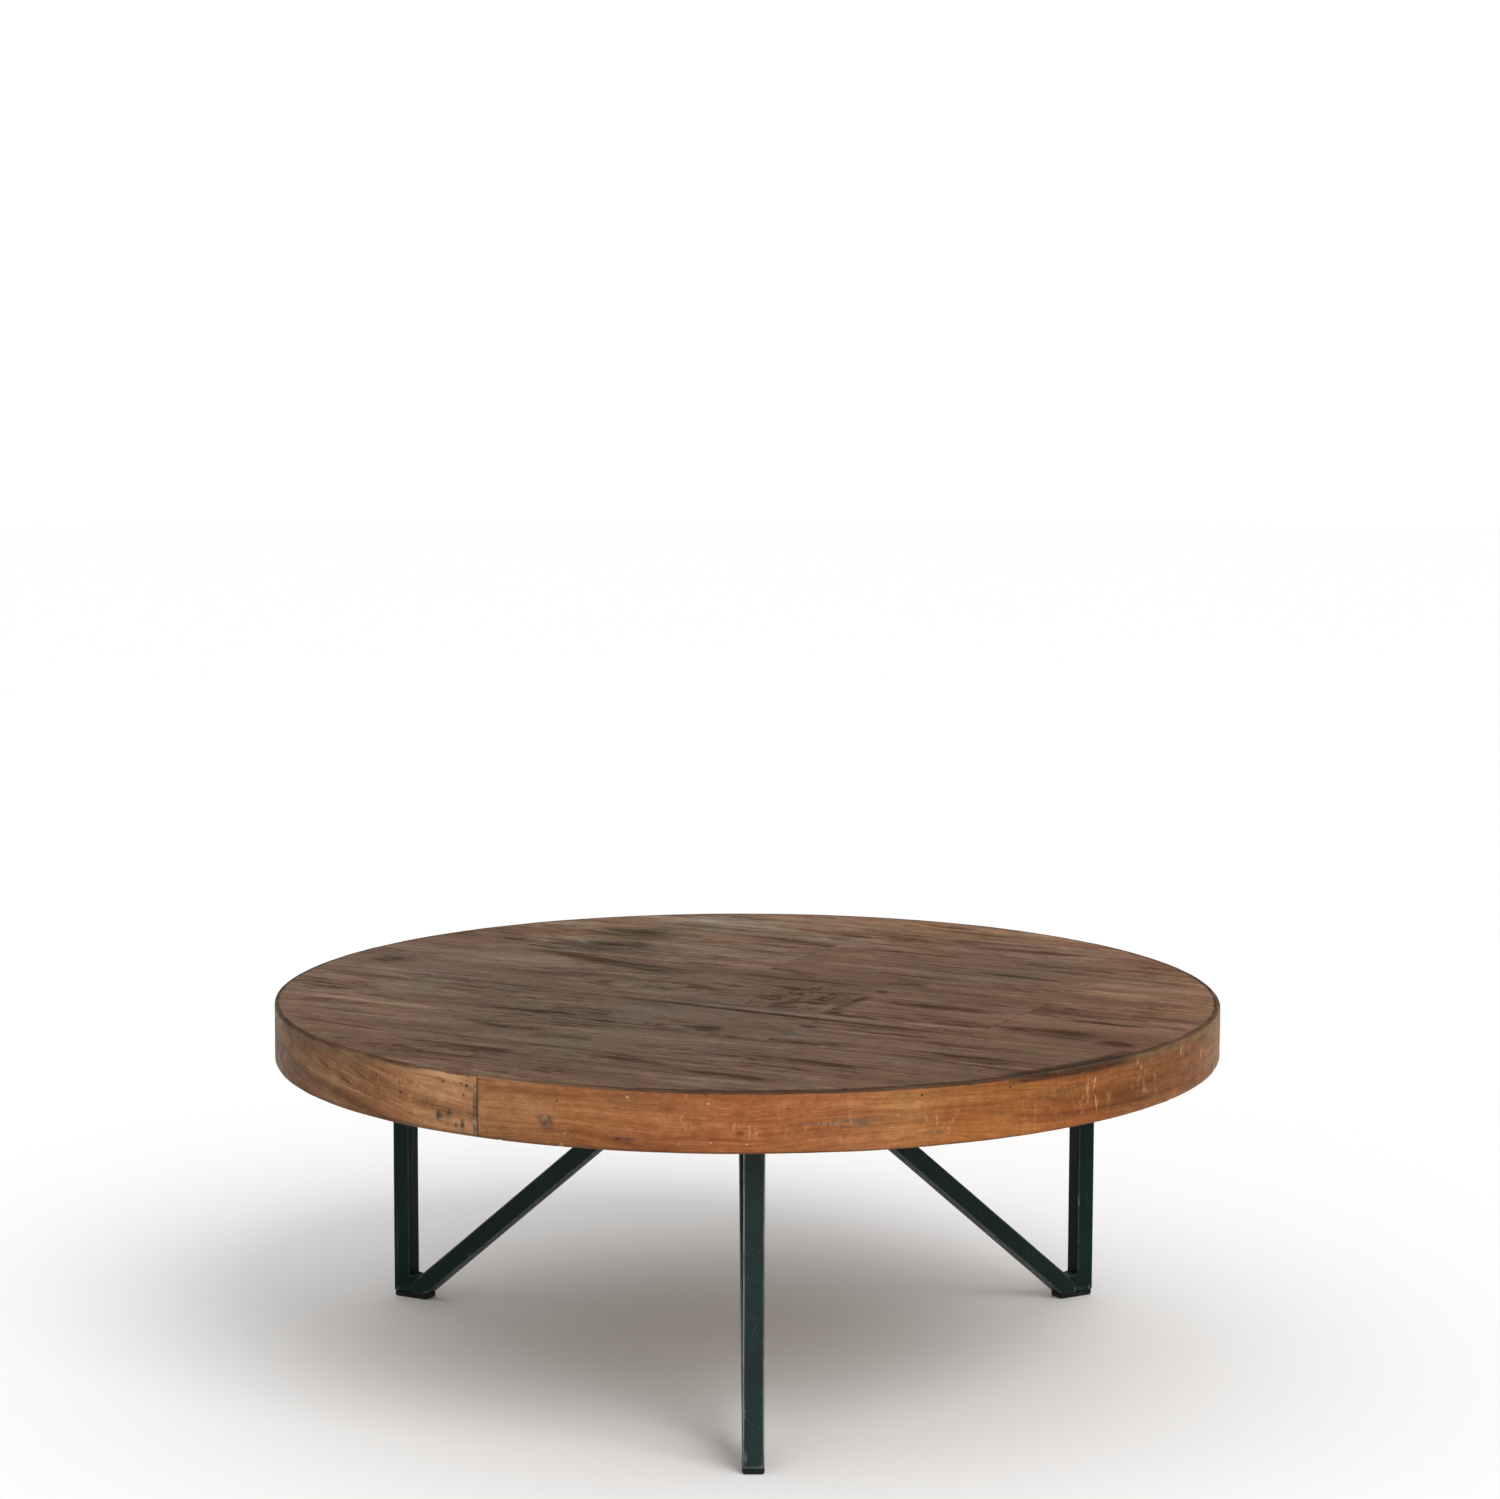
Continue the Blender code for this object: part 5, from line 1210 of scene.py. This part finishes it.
def tube_between(name, start, d, ax, ay, t_low, t_high, mats, matrix, seed, pitch=0.010, end_round=0.0013):
    """Hollow square tube along d.  t_low and t_high give, for an offset across the tube,
    how far along it each end lies."""
    half, r = TUBE / 2, 0.0022
    out_s, ed = section(half, r)
    in_s, _ = section(half - WALL, 0.0009)
    n = len(out_s)
    verts, edge, faces = [], [], []

    def ring(sect, ts, e):
        base = len(verts)
        for (x, y), t, ee in zip(sect, ts, e):
            p = start + ax * x + ay * y + d * t
            verts.append(tuple(p))
            edge.append(ee)
        return base

    def join(a, b):
        for i in range(n):
            j = (i + 1) % n
            faces.append((a + i, a + j, b + j, b + i))

    def shrunk(k):
        return out_s * ((half - k) / half)

    rings = []
    for k, dz in ((end_round, 0.0), (end_round * 0.55, end_round * 0.12), (end_round * 0.2, end_round * 0.45),
                  (0.0, end_round)):
        s = shrunk(k)
        rings.append(ring(s, [t_low(x, y) + dz for x, y in s], np.full(n, 1.0)))
    lows = np.array([t_low(x, y) + end_round for x, y in out_s])
    highs = np.array([t_high(x, y) - 0.0006 for x, y in out_s])
    steps = max(2, int((highs.max() - lows.min()) / pitch))
    for i in range(1, steps):
        f = i / steps
        ts = lows + (highs - lows) * f
        wob = np.array([0.00010 * n3(p[0] * 300 + seed, p[1] * 300, t * 22) for p, t in zip(out_s, ts)])
        s = out_s * (1 + wob / half)[:, None]
        fade = np.maximum(ed, np.clip(1 - np.abs(ts - lows) / 0.006, 0, 1) * 0.55)
        rings.append(ring(s, ts, fade))
    rings.append(ring(out_s, highs, ed))
    s = shrunk(0.0005)
    rings.append(ring(s, [t_high(x, y) for x, y in s], np.full(n, 0.6)))
    for a, b in zip(rings, rings[1:]):
        join(a, b)
    inner = [ring(in_s, [t_high(x, y) for x, y in in_s], np.full(n, 0.3)),
             ring(in_s, [t_low(x, y) for x, y in in_s], np.full(n, 0.3))]
    join(rings[-1], inner[0])
    join(inner[0], inner[1])
    join(inner[1], rings[0])
    return mesh_object(name, verts, faces, mats, None, edge, 60.0, matrix)


def bead(name, path, radius, mats, matrix, seed, closed=False, ripple=0.0034, squash=1.0, sides=12):
    """Weld bead: a lumpy run of metal along a path."""
    pts = [Vector(p) for p in path]
    n = len(pts)
    verts, faces, edge = [], [], []
    run = 0.0
    for i, p in enumerate(pts):
        a = pts[(i - 1) % n] if closed or i > 0 else p
        b = pts[(i + 1) % n] if closed or i < n - 1 else p
        t = (b - a).normalized()
        ref = Vector((0, 0, 1)) if abs(t.z) < 0.9 else Vector((1, 0, 0))
        sx = t.cross(ref).normalized()
        sy = sx.cross(t).normalized()
        if i:
            run += (p - pts[i - 1]).length
        k = 1 + 0.13 * math.sin(2 * math.pi * run / ripple) + 0.16 * n3(run * 260, seed, 1.0)
        if not closed:
            end = min(i, n - 1 - i) / (n - 1) * 2
            k *= math.sqrt(max(0.04, 1 - (1 - min(1, end * 3.2)) ** 2))
        for j in range(sides):
            g = 2 * math.pi * j / sides
            kk = k * (1 + 0.07 * n3(run * 420, j * 1.7, seed))
            verts.append(tuple(p + sx * (radius * kk * math.cos(g)) + sy * (radius * squash * kk * math.sin(g))))
            edge.append(0.75)
    for i in range(n if closed else n - 1):
        a, b = i * sides, ((i + 1) % n) * sides
        for j in range(sides):
            k = (j + 1) % sides
            faces.append((a + j, b + j, b + k, a + k))
    if not closed:
        faces.append(tuple(range(sides)))
        faces.append(tuple(reversed(range((n - 1) * sides, n * sides))))
    ob = mesh_object(name, verts, faces, mats, None, edge, 80.0, matrix)
    return ob


def crotch(name, xf, zc, al, half, mats, matrix, seed):
    """Run of weld in the corner between post and sloping tube, hollowed like a fillet."""
    verts, faces, edge, rows = [], [], [], []
    n = 46
    for i in range(n + 1):
        f = i / n
        y = (-1 + 2 * f) * (half - 0.0004)
        end = math.sqrt(max(0.0, 1 - abs(2 * f - 1) ** 10))
        k = 1 + 0.06 * math.sin(2 * math.pi * y / 0.0034) + 0.08 * n3(y * 300, seed, 2.0)
        up = 0.0092 * k * (0.90 + 0.10 * end)              # leg of the fillet on the post
        out = 0.0136 * k * (0.90 + 0.10 * end)             # leg on the sloping tube
        a = Vector((xf + 0.0009, y, zc + up))
        b = Vector((xf - out * math.cos(al), y, zc + out * math.sin(al)))
        b += Vector((math.sin(al), 0, math.cos(al))) * -0.0006
        mid = Vector((xf, y, zc)) + Vector((-0.0048, 0, 0.0076)) * k
        row = []
        for j in range(11):
            t = j / 10
            p = a * (1 - t) ** 2 + mid * (2 * t * (1 - t)) + b * t ** 2
            p += Vector((-0.4, 0, 0.9)) * (0.00035 * n3(y * 500, t * 3, seed + 4))
            row.append(len(verts))
            verts.append(tuple(p))
            edge.append(0.55 + 0.25 * math.sin(math.pi * t))
        row.append(len(verts))
        verts.append((xf + 0.0009, y, zc - 0.0012))
        edge.append(0.0)
        rows.append(row)
    m = len(rows[0])
    for r0, r1 in zip(rows, rows[1:]):
        for j in range(m):
            q = (j + 1) % m
            faces.append((r0[j], r1[j], r1[q], r0[q]))
    faces.append(tuple(rows[0]))
    faces.append(tuple(reversed(rows[-1])))
    fillet = len(faces)
    # seams down both sides, ground nearly flush
    lo, hi = PAD_H + GAP + 0.0004, zc + 0.0080
    for sy in (-1, 1):
        rows = []
        steps = 30
        for i in range(steps + 1):
            f = i / steps
            z = lo + (hi - lo) * f
            end = math.sqrt(max(0.0, 1 - abs(2 * f - 1) ** 8))
            wide = (0.0036 + 0.0006 * n3(z * 260, seed, sy * 3.0)) * (0.35 + 0.65 * end)
            wide += 0.0060 * max(0.0, (z - zc + 0.001) / 0.009)
            row = []
            for j in range(11):
                t = -1 + 2 * j / 10
                y = half - 0.0003 + (0.00062 + 0.00010 * n3(z * 700, t * 2, seed)) * (1 - t * t) * end
                row.append(len(verts))
                verts.append((xf + 0.0001 + (wide if t < 0 else min(wide, 0.0036)) * t, sy * y, z))
                edge.append(0.0)
            row.append(len(verts))
            verts.append((xf + 0.0001, sy * (half - 0.0011), z))
            edge.append(0.0)
            rows.append(row if sy < 0 else row[::-1])
        m = len(rows[0])
        for r0, r1 in zip(rows, rows[1:]):
            for j in range(m):
                q = (j + 1) % m
                faces.append((r0[j], r0[q], r1[q], r1[j]))
        faces.append(tuple(reversed(rows[0])))
        faces.append(tuple(rows[-1]))
    fmat = [0] * fillet + [1] * (len(faces) - fillet)
    return mesh_object(name, verts, faces, mats, fmat, edge, 60.0, matrix)


def pad(name, mats, matrix):
    """Glide: rounded slab under both tubes, with a plug that goes up into the post."""
    r0, r1 = BRACE_FOOT_R - 0.0008, LEG_R_OUT - 0.0008
    half = TUBE / 2 + 0.0003
    rc, nc = 0.0032, 8
    pts = []
    for cx, cy, a0 in ((r1, half, 0), (r0, half, 90), (r0, -half, 180), (r1, -half, 270)):
        sx, sy = (-1 if cx == r1 else 1), (-1 if cy > 0 else 1)
        for i in range(nc + 1):
            a = math.radians(a0 + 90 * i / nc)
            pts.append((cx + sx * rc + rc * math.cos(a), cy + sy * rc + rc * math.sin(a)))
    pts = dense(np.array(pts), 0.004)
    nrm = inward(pts)
    n = len(pts)
    verts, faces, edge = [], [], []

    def loop(inset, z):
        base = len(verts)
        for p in pts + nrm * inset:
            verts.append((p[0], p[1], z))
            edge.append(0.0)
        return base

    rr = 0.0022
    loops = []
    loops.append(loop(rr + 0.0006, 0.0))
    for i in range(6):
        g = math.radians(90 * i / 5)
        loops.append(loop(rr * (1 - math.sin(g)), rr * (1 - math.cos(g))))
    loops.append(loop(0.0, PAD_H - 0.0008))
    loops.append(loop(0.00025, PAD_H - 0.0002))
    loops.append(loop(0.0009, PAD_H))
    for a, b in zip(loops, loops[1:]):
        for i in range(n):
            j = (i + 1) % n
            faces.append((a + i, a + j, b + j, b + i))
    b0 = loops[0]
    low = pts + nrm * (rr + 0.0006)
    for f in fill(low, np.zeros((0, 2))):
        faces.append(tuple(b0 + k for k in reversed(f)))
    t0 = loops[-1]
    topl = pts + nrm * 0.0009
    # plug outline as a hole in the upper face, then its walls and its cap
    ph, pc = TUBE / 2 - WALL - 0.0004, LEG_R_OUT - TUBE / 2
    sq, _ = section(ph, 0.0012, 2, 4)
    sq = sq + np.array([pc, 0.0])
    m = len(sq)
    co = [Vector(p) for p in topl] + [Vector(p) for p in sq]
    edges = [(i, (i + 1) % n) for i in range(n)] + [(n + i, n + (i + 1) % m) for i in range(m)]
    vs, _, fs, orig, _, _ = delaunay_2d_cdt(co, edges, [], 0, 1e-7)
    vv = np.array([tuple(v) for v in vs])
    tri = np.array([f for f in fs if len(f) == 3])
    mid = vv[tri].mean(1)
    keep = inside(mid, topl) & ~inside(mid, sq)
    s0 = len(verts)
    for p in sq:
        verts.append((p[0], p[1], PAD_H))
        edge.append(0.0)
    for f in tri[keep]:
        k = [orig[i][0] for i in f]
        a, b, c = (np.asarray(co[i]) for i in k)
        if (b[0] - a[0]) * (c[1] - a[1]) - (b[1] - a[1]) * (c[0] - a[0]) < 0:
            k = [k[0], k[2], k[1]]
        faces.append(tuple(t0 + i if i < n else s0 + i - n for i in k))
    s1 = len(verts)
    for p in sq:
        verts.append((pc + (p[0] - pc) * 0.92, p[1] * 0.92, PAD_H + PLUG_H))
        edge.append(0.0)
    for i in range(m):
        j = (i + 1) % m
        faces.append((s0 + i, s0 + j, s1 + j, s1 + i))
    faces.append(tuple(range(s1, s1 + m)))
    return mesh_object(name, verts, faces, mats, None, edge, 45.0, matrix)


def screw_mesh():
    """Head of a countersunk screw, down at z 0 and facing up, with a cross recess; build_screw adds the thread and the
    point.
    """
    verts, faces = [], []
    seg = 48

    def ring(r, z, twist=None):
        base = len(verts)
        for i in range(seg):
            a = 2 * math.pi * i / seg
            zz = z(a, r) if callable(z) else z
            verts.append((r * math.cos(a), r * math.sin(a), zz))
        return base

    def join(a, b):
        for i in range(seg):
            j = (i + 1) % seg
            faces.append((a + i, a + j, b + j, b + i))

    def recess(a, r):
        x, y = r * math.cos(a), r * math.sin(a)
        arm = min(abs(x), abs(y))
        wide = 0.00065 * (1 - 0.4 * r / 0.0026)
        if r > 0.0027:
            return 0.0
        inside_arm = 1.0 if arm < wide else max(0.0, 1 - (arm - wide) / 0.00018)
        depth = 0.0017 * (1 - (r / 0.0029) ** 2)
        return max(0.0, depth) * inside_arm

    c = len(verts)
    verts.append((0, 0, 0.0017))
    rings = [ring(r, recess) for r in (0.0003, 0.0006, 0.0009, 0.0012, 0.0015, 0.0018, 0.0021, 0.0024, 0.0027, 0.0030,
                                       0.0036, 0.0041)]
    for i in range(seg):
        faces.append((c, rings[0] + (i + 1) % seg, rings[0] + i))
    for a, b in zip(rings, rings[1:]):
        join(a, b)
    last = rings[-1]
    for r, z in ((SCREW_HEAD_R, 0.00012), (SCREW_HEAD_R, 0.0004), (SCREW_SHANK_R + 0.0004, SCREW_HEAD_H - 0.0003),
                 (SCREW_SHANK_R, SCREW_HEAD_H + 0.0004)):
        nxt = ring(r, z)
        join(last, nxt)
        last = nxt
    return verts, faces, last, seg


def build_screw(name, at, length, mat, turn):
    verts, faces, last, seg = screw_mesh()
    verts, faces = list(verts), list(faces)
    z = SCREW_HEAD_H + 0.0004
    pitch = 0.0020
    rows = int((length - z) / (pitch / 8))
    for k in range(1, rows + 1):
        zz = z + (length - z) * k / rows
        taper = 1.0 if zz < length * 0.80 else max(0.12, 1 - (zz - length * 0.80) / (length * 0.20))
        base = len(verts)
        for i in range(seg):
            a = 2 * math.pi * i / seg
            ph = ((zz / pitch) - a / (2 * math.pi)) % 1.0
            crest = max(0.0, 1 - abs(ph - 0.5) / 0.22)
            grow = min(1.0, max(0.0, (zz - z - 0.002) / 0.002))
            r = (SCREW_SHANK_R * (0.72 if zz > z + 0.002 else 1.0) + 0.28 * SCREW_SHANK_R * crest * grow) * taper
            verts.append((r * math.cos(a), r * math.sin(a), zz))
        for i in range(seg):
            j = (i + 1) % seg
            faces.append((last + i, last + j, base + j, base + i))
        last = base
    faces.append(tuple(last + i for i in range(seg)))
    mtx = Matrix.Translation(at) @ Matrix.Rotation(turn, 4, "Z")
    return mesh_object(name, verts, faces, [mat], None, None, 35.0, mtx)


def build_leg(side, az, M):
    rot = Matrix.Rotation(math.radians(az), 4, "Z")
    z0, z1 = PAD_H + GAP, Z_CORE - PLATE_T - 2 * GAP
    rc, half = LEG_R_OUT - TUBE / 2, TUBE / 2
    X, Y, Z = Vector((1, 0, 0)), Vector((0, 1, 0)), Vector((0, 0, 1))
    seed = az * 0.11
    post = tube_between("post_" + side, X * rc, Z, X, Y, lambda x, y: z0, lambda x, y: z1,
                        [M["front" if side == "front" else "post"]], rot, seed)
    piece(post, "black_steel", "leg_%s_post" % side)
    al = math.radians(BRACE_DEG)
    d = Vector((-math.cos(al), 0, math.sin(al)))
    nrm = Vector((math.sin(al), 0, math.cos(al)))
    start = Vector((BRACE_FOOT_R, 0, z0)) + nrm * half
    xf = rc - half - GAP

    def t_low(x, y):
        p = start + nrm * x + Y * y
        return max((z0 - p.z) / d.z, (p.x - xf) / math.cos(al))

    def t_high(x, y):
        p = start + nrm * x + Y * y
        return (z1 - p.z) / d.z

    brace = tube_between("brace_" + side, start, d, nrm, Y, t_low, t_high, [M["steel"]], rot, seed + 3.0, end_round=0.0005)
    piece(brace, "black_steel", "leg_%s_brace" % side)
    foot = pad("foot_" + side, [M["pad"]], rot)
    piece(foot, "foot_pad", "leg_%s_foot_pad" % side)
    # weld that fills the crotch, where the upper face of the sloping tube meets the post
    top_line = start + nrm * half
    zc = top_line.z + (top_line.x - xf) * math.tan(al)
    w = crotch("weld_foot_" + side, xf, zc, al, half, [M["weld"], M["front" if side == "front" else "post"]], rot, seed)
    piece(w, "black_steel")
    # beads round the tops of both tubes, under their plates
    sec, _ = section(half + 0.0002, 0.0024, 6, 4)
    path = [(rc + x, y, z1 - 0.0009) for x, y in sec]
    w = bead("weld_top_" + side, path, 0.0015, [M["weld"]], rot, seed + 2.0, closed=True, ripple=0.0030, sides=8)
    piece(w, "black_steel")


def build_all_legs():
    # copies of the paint: the front leg's is painted lighter, with a stronger painted highlight on its corners, as it
    # faces the light; the side posts' copy is a little lighter, with a weaker painted highlight
    M = {"steel": steel_material("black_steel", 1.0), "weld": steel_material("black_weld", 2.0, weld=True),
         "post": steel_material("black_steel_post", 3.0, rub_glint_strength=0.32, wear=0.45, spec=0.090, lit_gain=1.05),
         "front": steel_material("black_steel_front_lit", 1.0, rub_glint_strength=0.98, line=(0.230, 0.255, 0.245), spec=0.20,
                                lit_gain=1.22, chips=0.15, lit_lift=(0.0038, 0.0014, 0.0036)),
         "pad": pad_material(), "screw": screw_material()}
    zp = Z_CORE - GAP - PLATE_T
    k = 0
    for side, az in LEG_AZ_DEG.items():
        build_leg(side, az, M)
        rot = Matrix.Rotation(math.radians(az), 4, "Z")
        for i, sy in enumerate((-1, 1)):
            at = rot @ Vector((LEG_R_OUT - TUBE / 2, sy * LEG_PLATE_SCREW, zp + 0.0002))
            ob = build_screw("screw_%s_%d" % (side, i + 1), at, 0.028, M["screw"], 0.4 + k * 0.77)
            piece(ob, "screw_steel", "leg_%s_screw_%d" % (side, i + 1))
            k += 1
    for i, az in enumerate((-30.0, 90.0, 210.0)):
        at = Vector((HUB_SCREW_R * math.cos(math.radians(az)), HUB_SCREW_R * math.sin(math.radians(az)), zp + 0.0002))
        ob = build_screw("screw_hub_%d" % (i + 1), at, 0.028, M["screw"], 0.9 + i)
        piece(ob, "screw_steel", "hub_screw_%d" % (i + 1))
    for tag, u in (("left", -BATTEN_OFFSET), ("right", BATTEN_OFFSET)):
        for i, v in enumerate((-0.250, 0.010, 0.190)):
            p = GU * u + GV * v
            at = Vector((p.x, p.y, Z_PLANK - GAP - BATTEN_T + 0.0002))
            ob = build_screw("screw_batten_%s_%d" % (tag, i + 1), at, 0.032, M["screw"], 0.2 + i * 1.1)
            piece(ob, "screw_steel", "batten_%s_screw_%d" % (tag, i + 1))
    return M


# ------------------------------------------------------------ carried CAD nodes
def soften(ob, width, segments=2):
    """Joins the corners that the file format splits, and eases the edges."""
    w = ob.modifiers.new("weld", "WELD")
    w.merge_threshold = 0.00001
    b = ob.modifiers.new("ease", "BEVEL")
    b.width, b.segments = width, segments
    b.limit_method, b.angle_limit = "ANGLE", math.radians(40)
    b.harden_normals = False
    b.use_clamp_overlap = True


def dress_cad(M):
    nodes = frame["nodes"]
    for name, ob in nodes.items():
        if ob.hide_render:
            continue
        ob.data.materials.clear()
        if name.startswith("ring_segment"):
            k = int(name.split("_")[-1])
            ang = math.radians(7.5 + 45 * (k - 1) + 22.5)
            ob.data.materials.append(raw_material("core_" + name, 30.0 + k, (-math.sin(ang), math.cos(ang), 0.0),
                                                  0.88 + 0.05 * (k % 4)))
            soften(ob, 0.0009)
        elif name == "centre_rail":
            ob.data.materials.append(raw_material("core_rail", 41.0, GV, 0.98))
            soften(ob, 0.0010)
        elif name.startswith("batten"):
            ob.data.materials.append(raw_material("core_" + name, 43.0 + len(name), GV, 1.04))
            soften(ob, 0.0010)
        else:
            ob.data.materials.append(M["steel"])
            soften(ob, 0.0005)


# ------------------------------------------------------------------------ stage
def build_stage():
    def pale(name, rgb, rough):
        n = Net(name)
        c = n.noise(n.P, (1.5, 1.5, 1.5), (3, 3, 3), 2.0, 0.5)
        col = n.mix(n.lin(c, 0.3, 0.7, 0.0, 0.04), rgb, tuple(x * 0.97 for x in rgb))
        return n.set(Base_Color=col, Roughness=rough, Specular_IOR_Level=0.2)

    mat = pale("floor_pale", (0.830, 0.832, 0.838), 0.75)
    seg = 128
    verts, faces = [(0, 0, 0)], []
    radii = [1.2, 3.0, 6.0, 11.0]
    for r in radii:
        verts += [(r * math.cos(2 * math.pi * i / seg), r * math.sin(2 * math.pi * i / seg), 0.0) for i in range(seg)]
    for i in range(seg):
        faces.append((0, 1 + i, 1 + (i + 1) % seg))
    for k in range(len(radii) - 1):
        for i in range(seg):
            j = (i + 1) % seg
            faces.append((1 + k * seg + i, 1 + (k + 1) * seg + i, 1 + (k + 1) * seg + j, 1 + k * seg + j))
    me = bpy.data.meshes.new("floor")
    me.from_pydata(verts, [], faces)
    me.materials.append(mat)
    floor = bpy.data.objects.new("floor", me)
    bpy.context.scene.collection.objects.link(floor)
    verts, faces = [], []
    prof = [(11.0, 0.0)] + [(11.0 + 4.0 * math.sin(math.radians(a)), 4.0 - 4.0 * math.cos(math.radians(a)))
                            for a in range(6, 91, 6)] + [(15.0, 12.0)]
    for r, z in prof:
        verts += [(r * math.cos(2 * math.pi * i / seg), r * math.sin(2 * math.pi * i / seg), z) for i in range(seg)]
    for k in range(len(prof) - 1):
        for i in range(seg):
            j = (i + 1) % seg
            faces.append((k * seg + i, (k + 1) * seg + i, (k + 1) * seg + j, k * seg + j))
    me = bpy.data.meshes.new("backdrop")
    me.from_pydata(verts, [], faces)
    me.shade_smooth()
    me.materials.append(mat)
    back = bpy.data.objects.new("backdrop", me)
    bpy.context.scene.collection.objects.link(back)
    for k in ("visible_diffuse", "visible_glossy", "visible_shadow", "visible_transmission", "visible_volume_scatter"):
        setattr(back, k, False)

    world = bpy.data.worlds.new("soft_world")
    bpy.context.scene.world = world
    world.use_nodes = True
    t = world.node_tree
    bg = t.nodes["Background"]
    tc = t.nodes.new("ShaderNodeTexCoord")
    sp = t.nodes.new("ShaderNodeSeparateXYZ")
    rp = t.nodes.new("ShaderNodeValToRGB")
    t.links.new(tc.outputs["Generated"], sp.inputs[0])
    t.links.new(sp.outputs[2], rp.inputs[0])
    e = rp.color_ramp.elements
    e[0].position, e[0].color = 0.0, (0.200, 0.190, 0.168, 1.0)
    e[1].position, e[1].color = 0.75, (1.00, 1.00, 1.00, 1.0)
    k = e.new(0.30)
    k.color = (0.380, 0.360, 0.325, 1.0)
    t.links.new(rp.outputs[0], bg.inputs[0])
    bg.inputs[1].default_value = 1.0

    sun = bpy.data.lights.new("key", "SUN")
    sun.energy, sun.angle = 1.60, math.radians(38)
    sun.color = (1.0, 0.992, 0.980)
    ob = bpy.data.objects.new("key", sun)
    ob.rotation_mode = "QUATERNION"
    ob.rotation_quaternion = Vector((-0.42, 0.62, -0.66)).to_track_quat("-Z", "Y")
    bpy.context.scene.collection.objects.link(ob)
    fill_sun = bpy.data.lights.new("front_fill", "SUN")
    fill_sun.energy, fill_sun.angle = 0.85, math.radians(80)
    ob = bpy.data.objects.new("front_fill", fill_sun)
    ob.rotation_mode = "QUATERNION"
    ob.rotation_quaternion = Vector((0.10, 0.94, -0.32)).to_track_quat("-Z", "Y")
    ob.visible_glossy = False
    bpy.context.scene.collection.objects.link(ob)


def build_camera():
    yaw, pitch, roll = math.radians(0.916), math.radians(7.438), math.radians(-0.163)
    fwd = Vector((math.sin(yaw) * math.cos(pitch), math.cos(yaw) * math.cos(pitch), -math.sin(pitch)))
    right = Vector((math.cos(yaw), -math.sin(yaw), 0.0))
    down = fwd.cross(right)
    r2 = math.cos(roll) * right + math.sin(roll) * down
    d2 = -math.sin(roll) * right + math.cos(roll) * down
    m = Matrix((r2, -d2, -fwd)).transposed().to_4x4()
    m.translation = Vector((-0.0594, -3.8206, 1.0823))
    cam = bpy.data.cameras.new("camera")
    cam.lens, cam.sensor_width = 97.435, 36.0
    cam.clip_start, cam.clip_end = 0.05, 100.0
    ob = bpy.data.objects.new("camera", cam)
    ob.matrix_world = m
    bpy.context.scene.collection.objects.link(ob)
    bpy.context.scene.camera = ob


build_camera()
build_stage()
build_planks()
build_rim()
steel = build_all_legs()
dress_cad(steel)

view = bpy.context.scene.view_settings
view.view_transform, view.look = "Standard", "None"
view.exposure, view.gamma = 0.0, 1.0
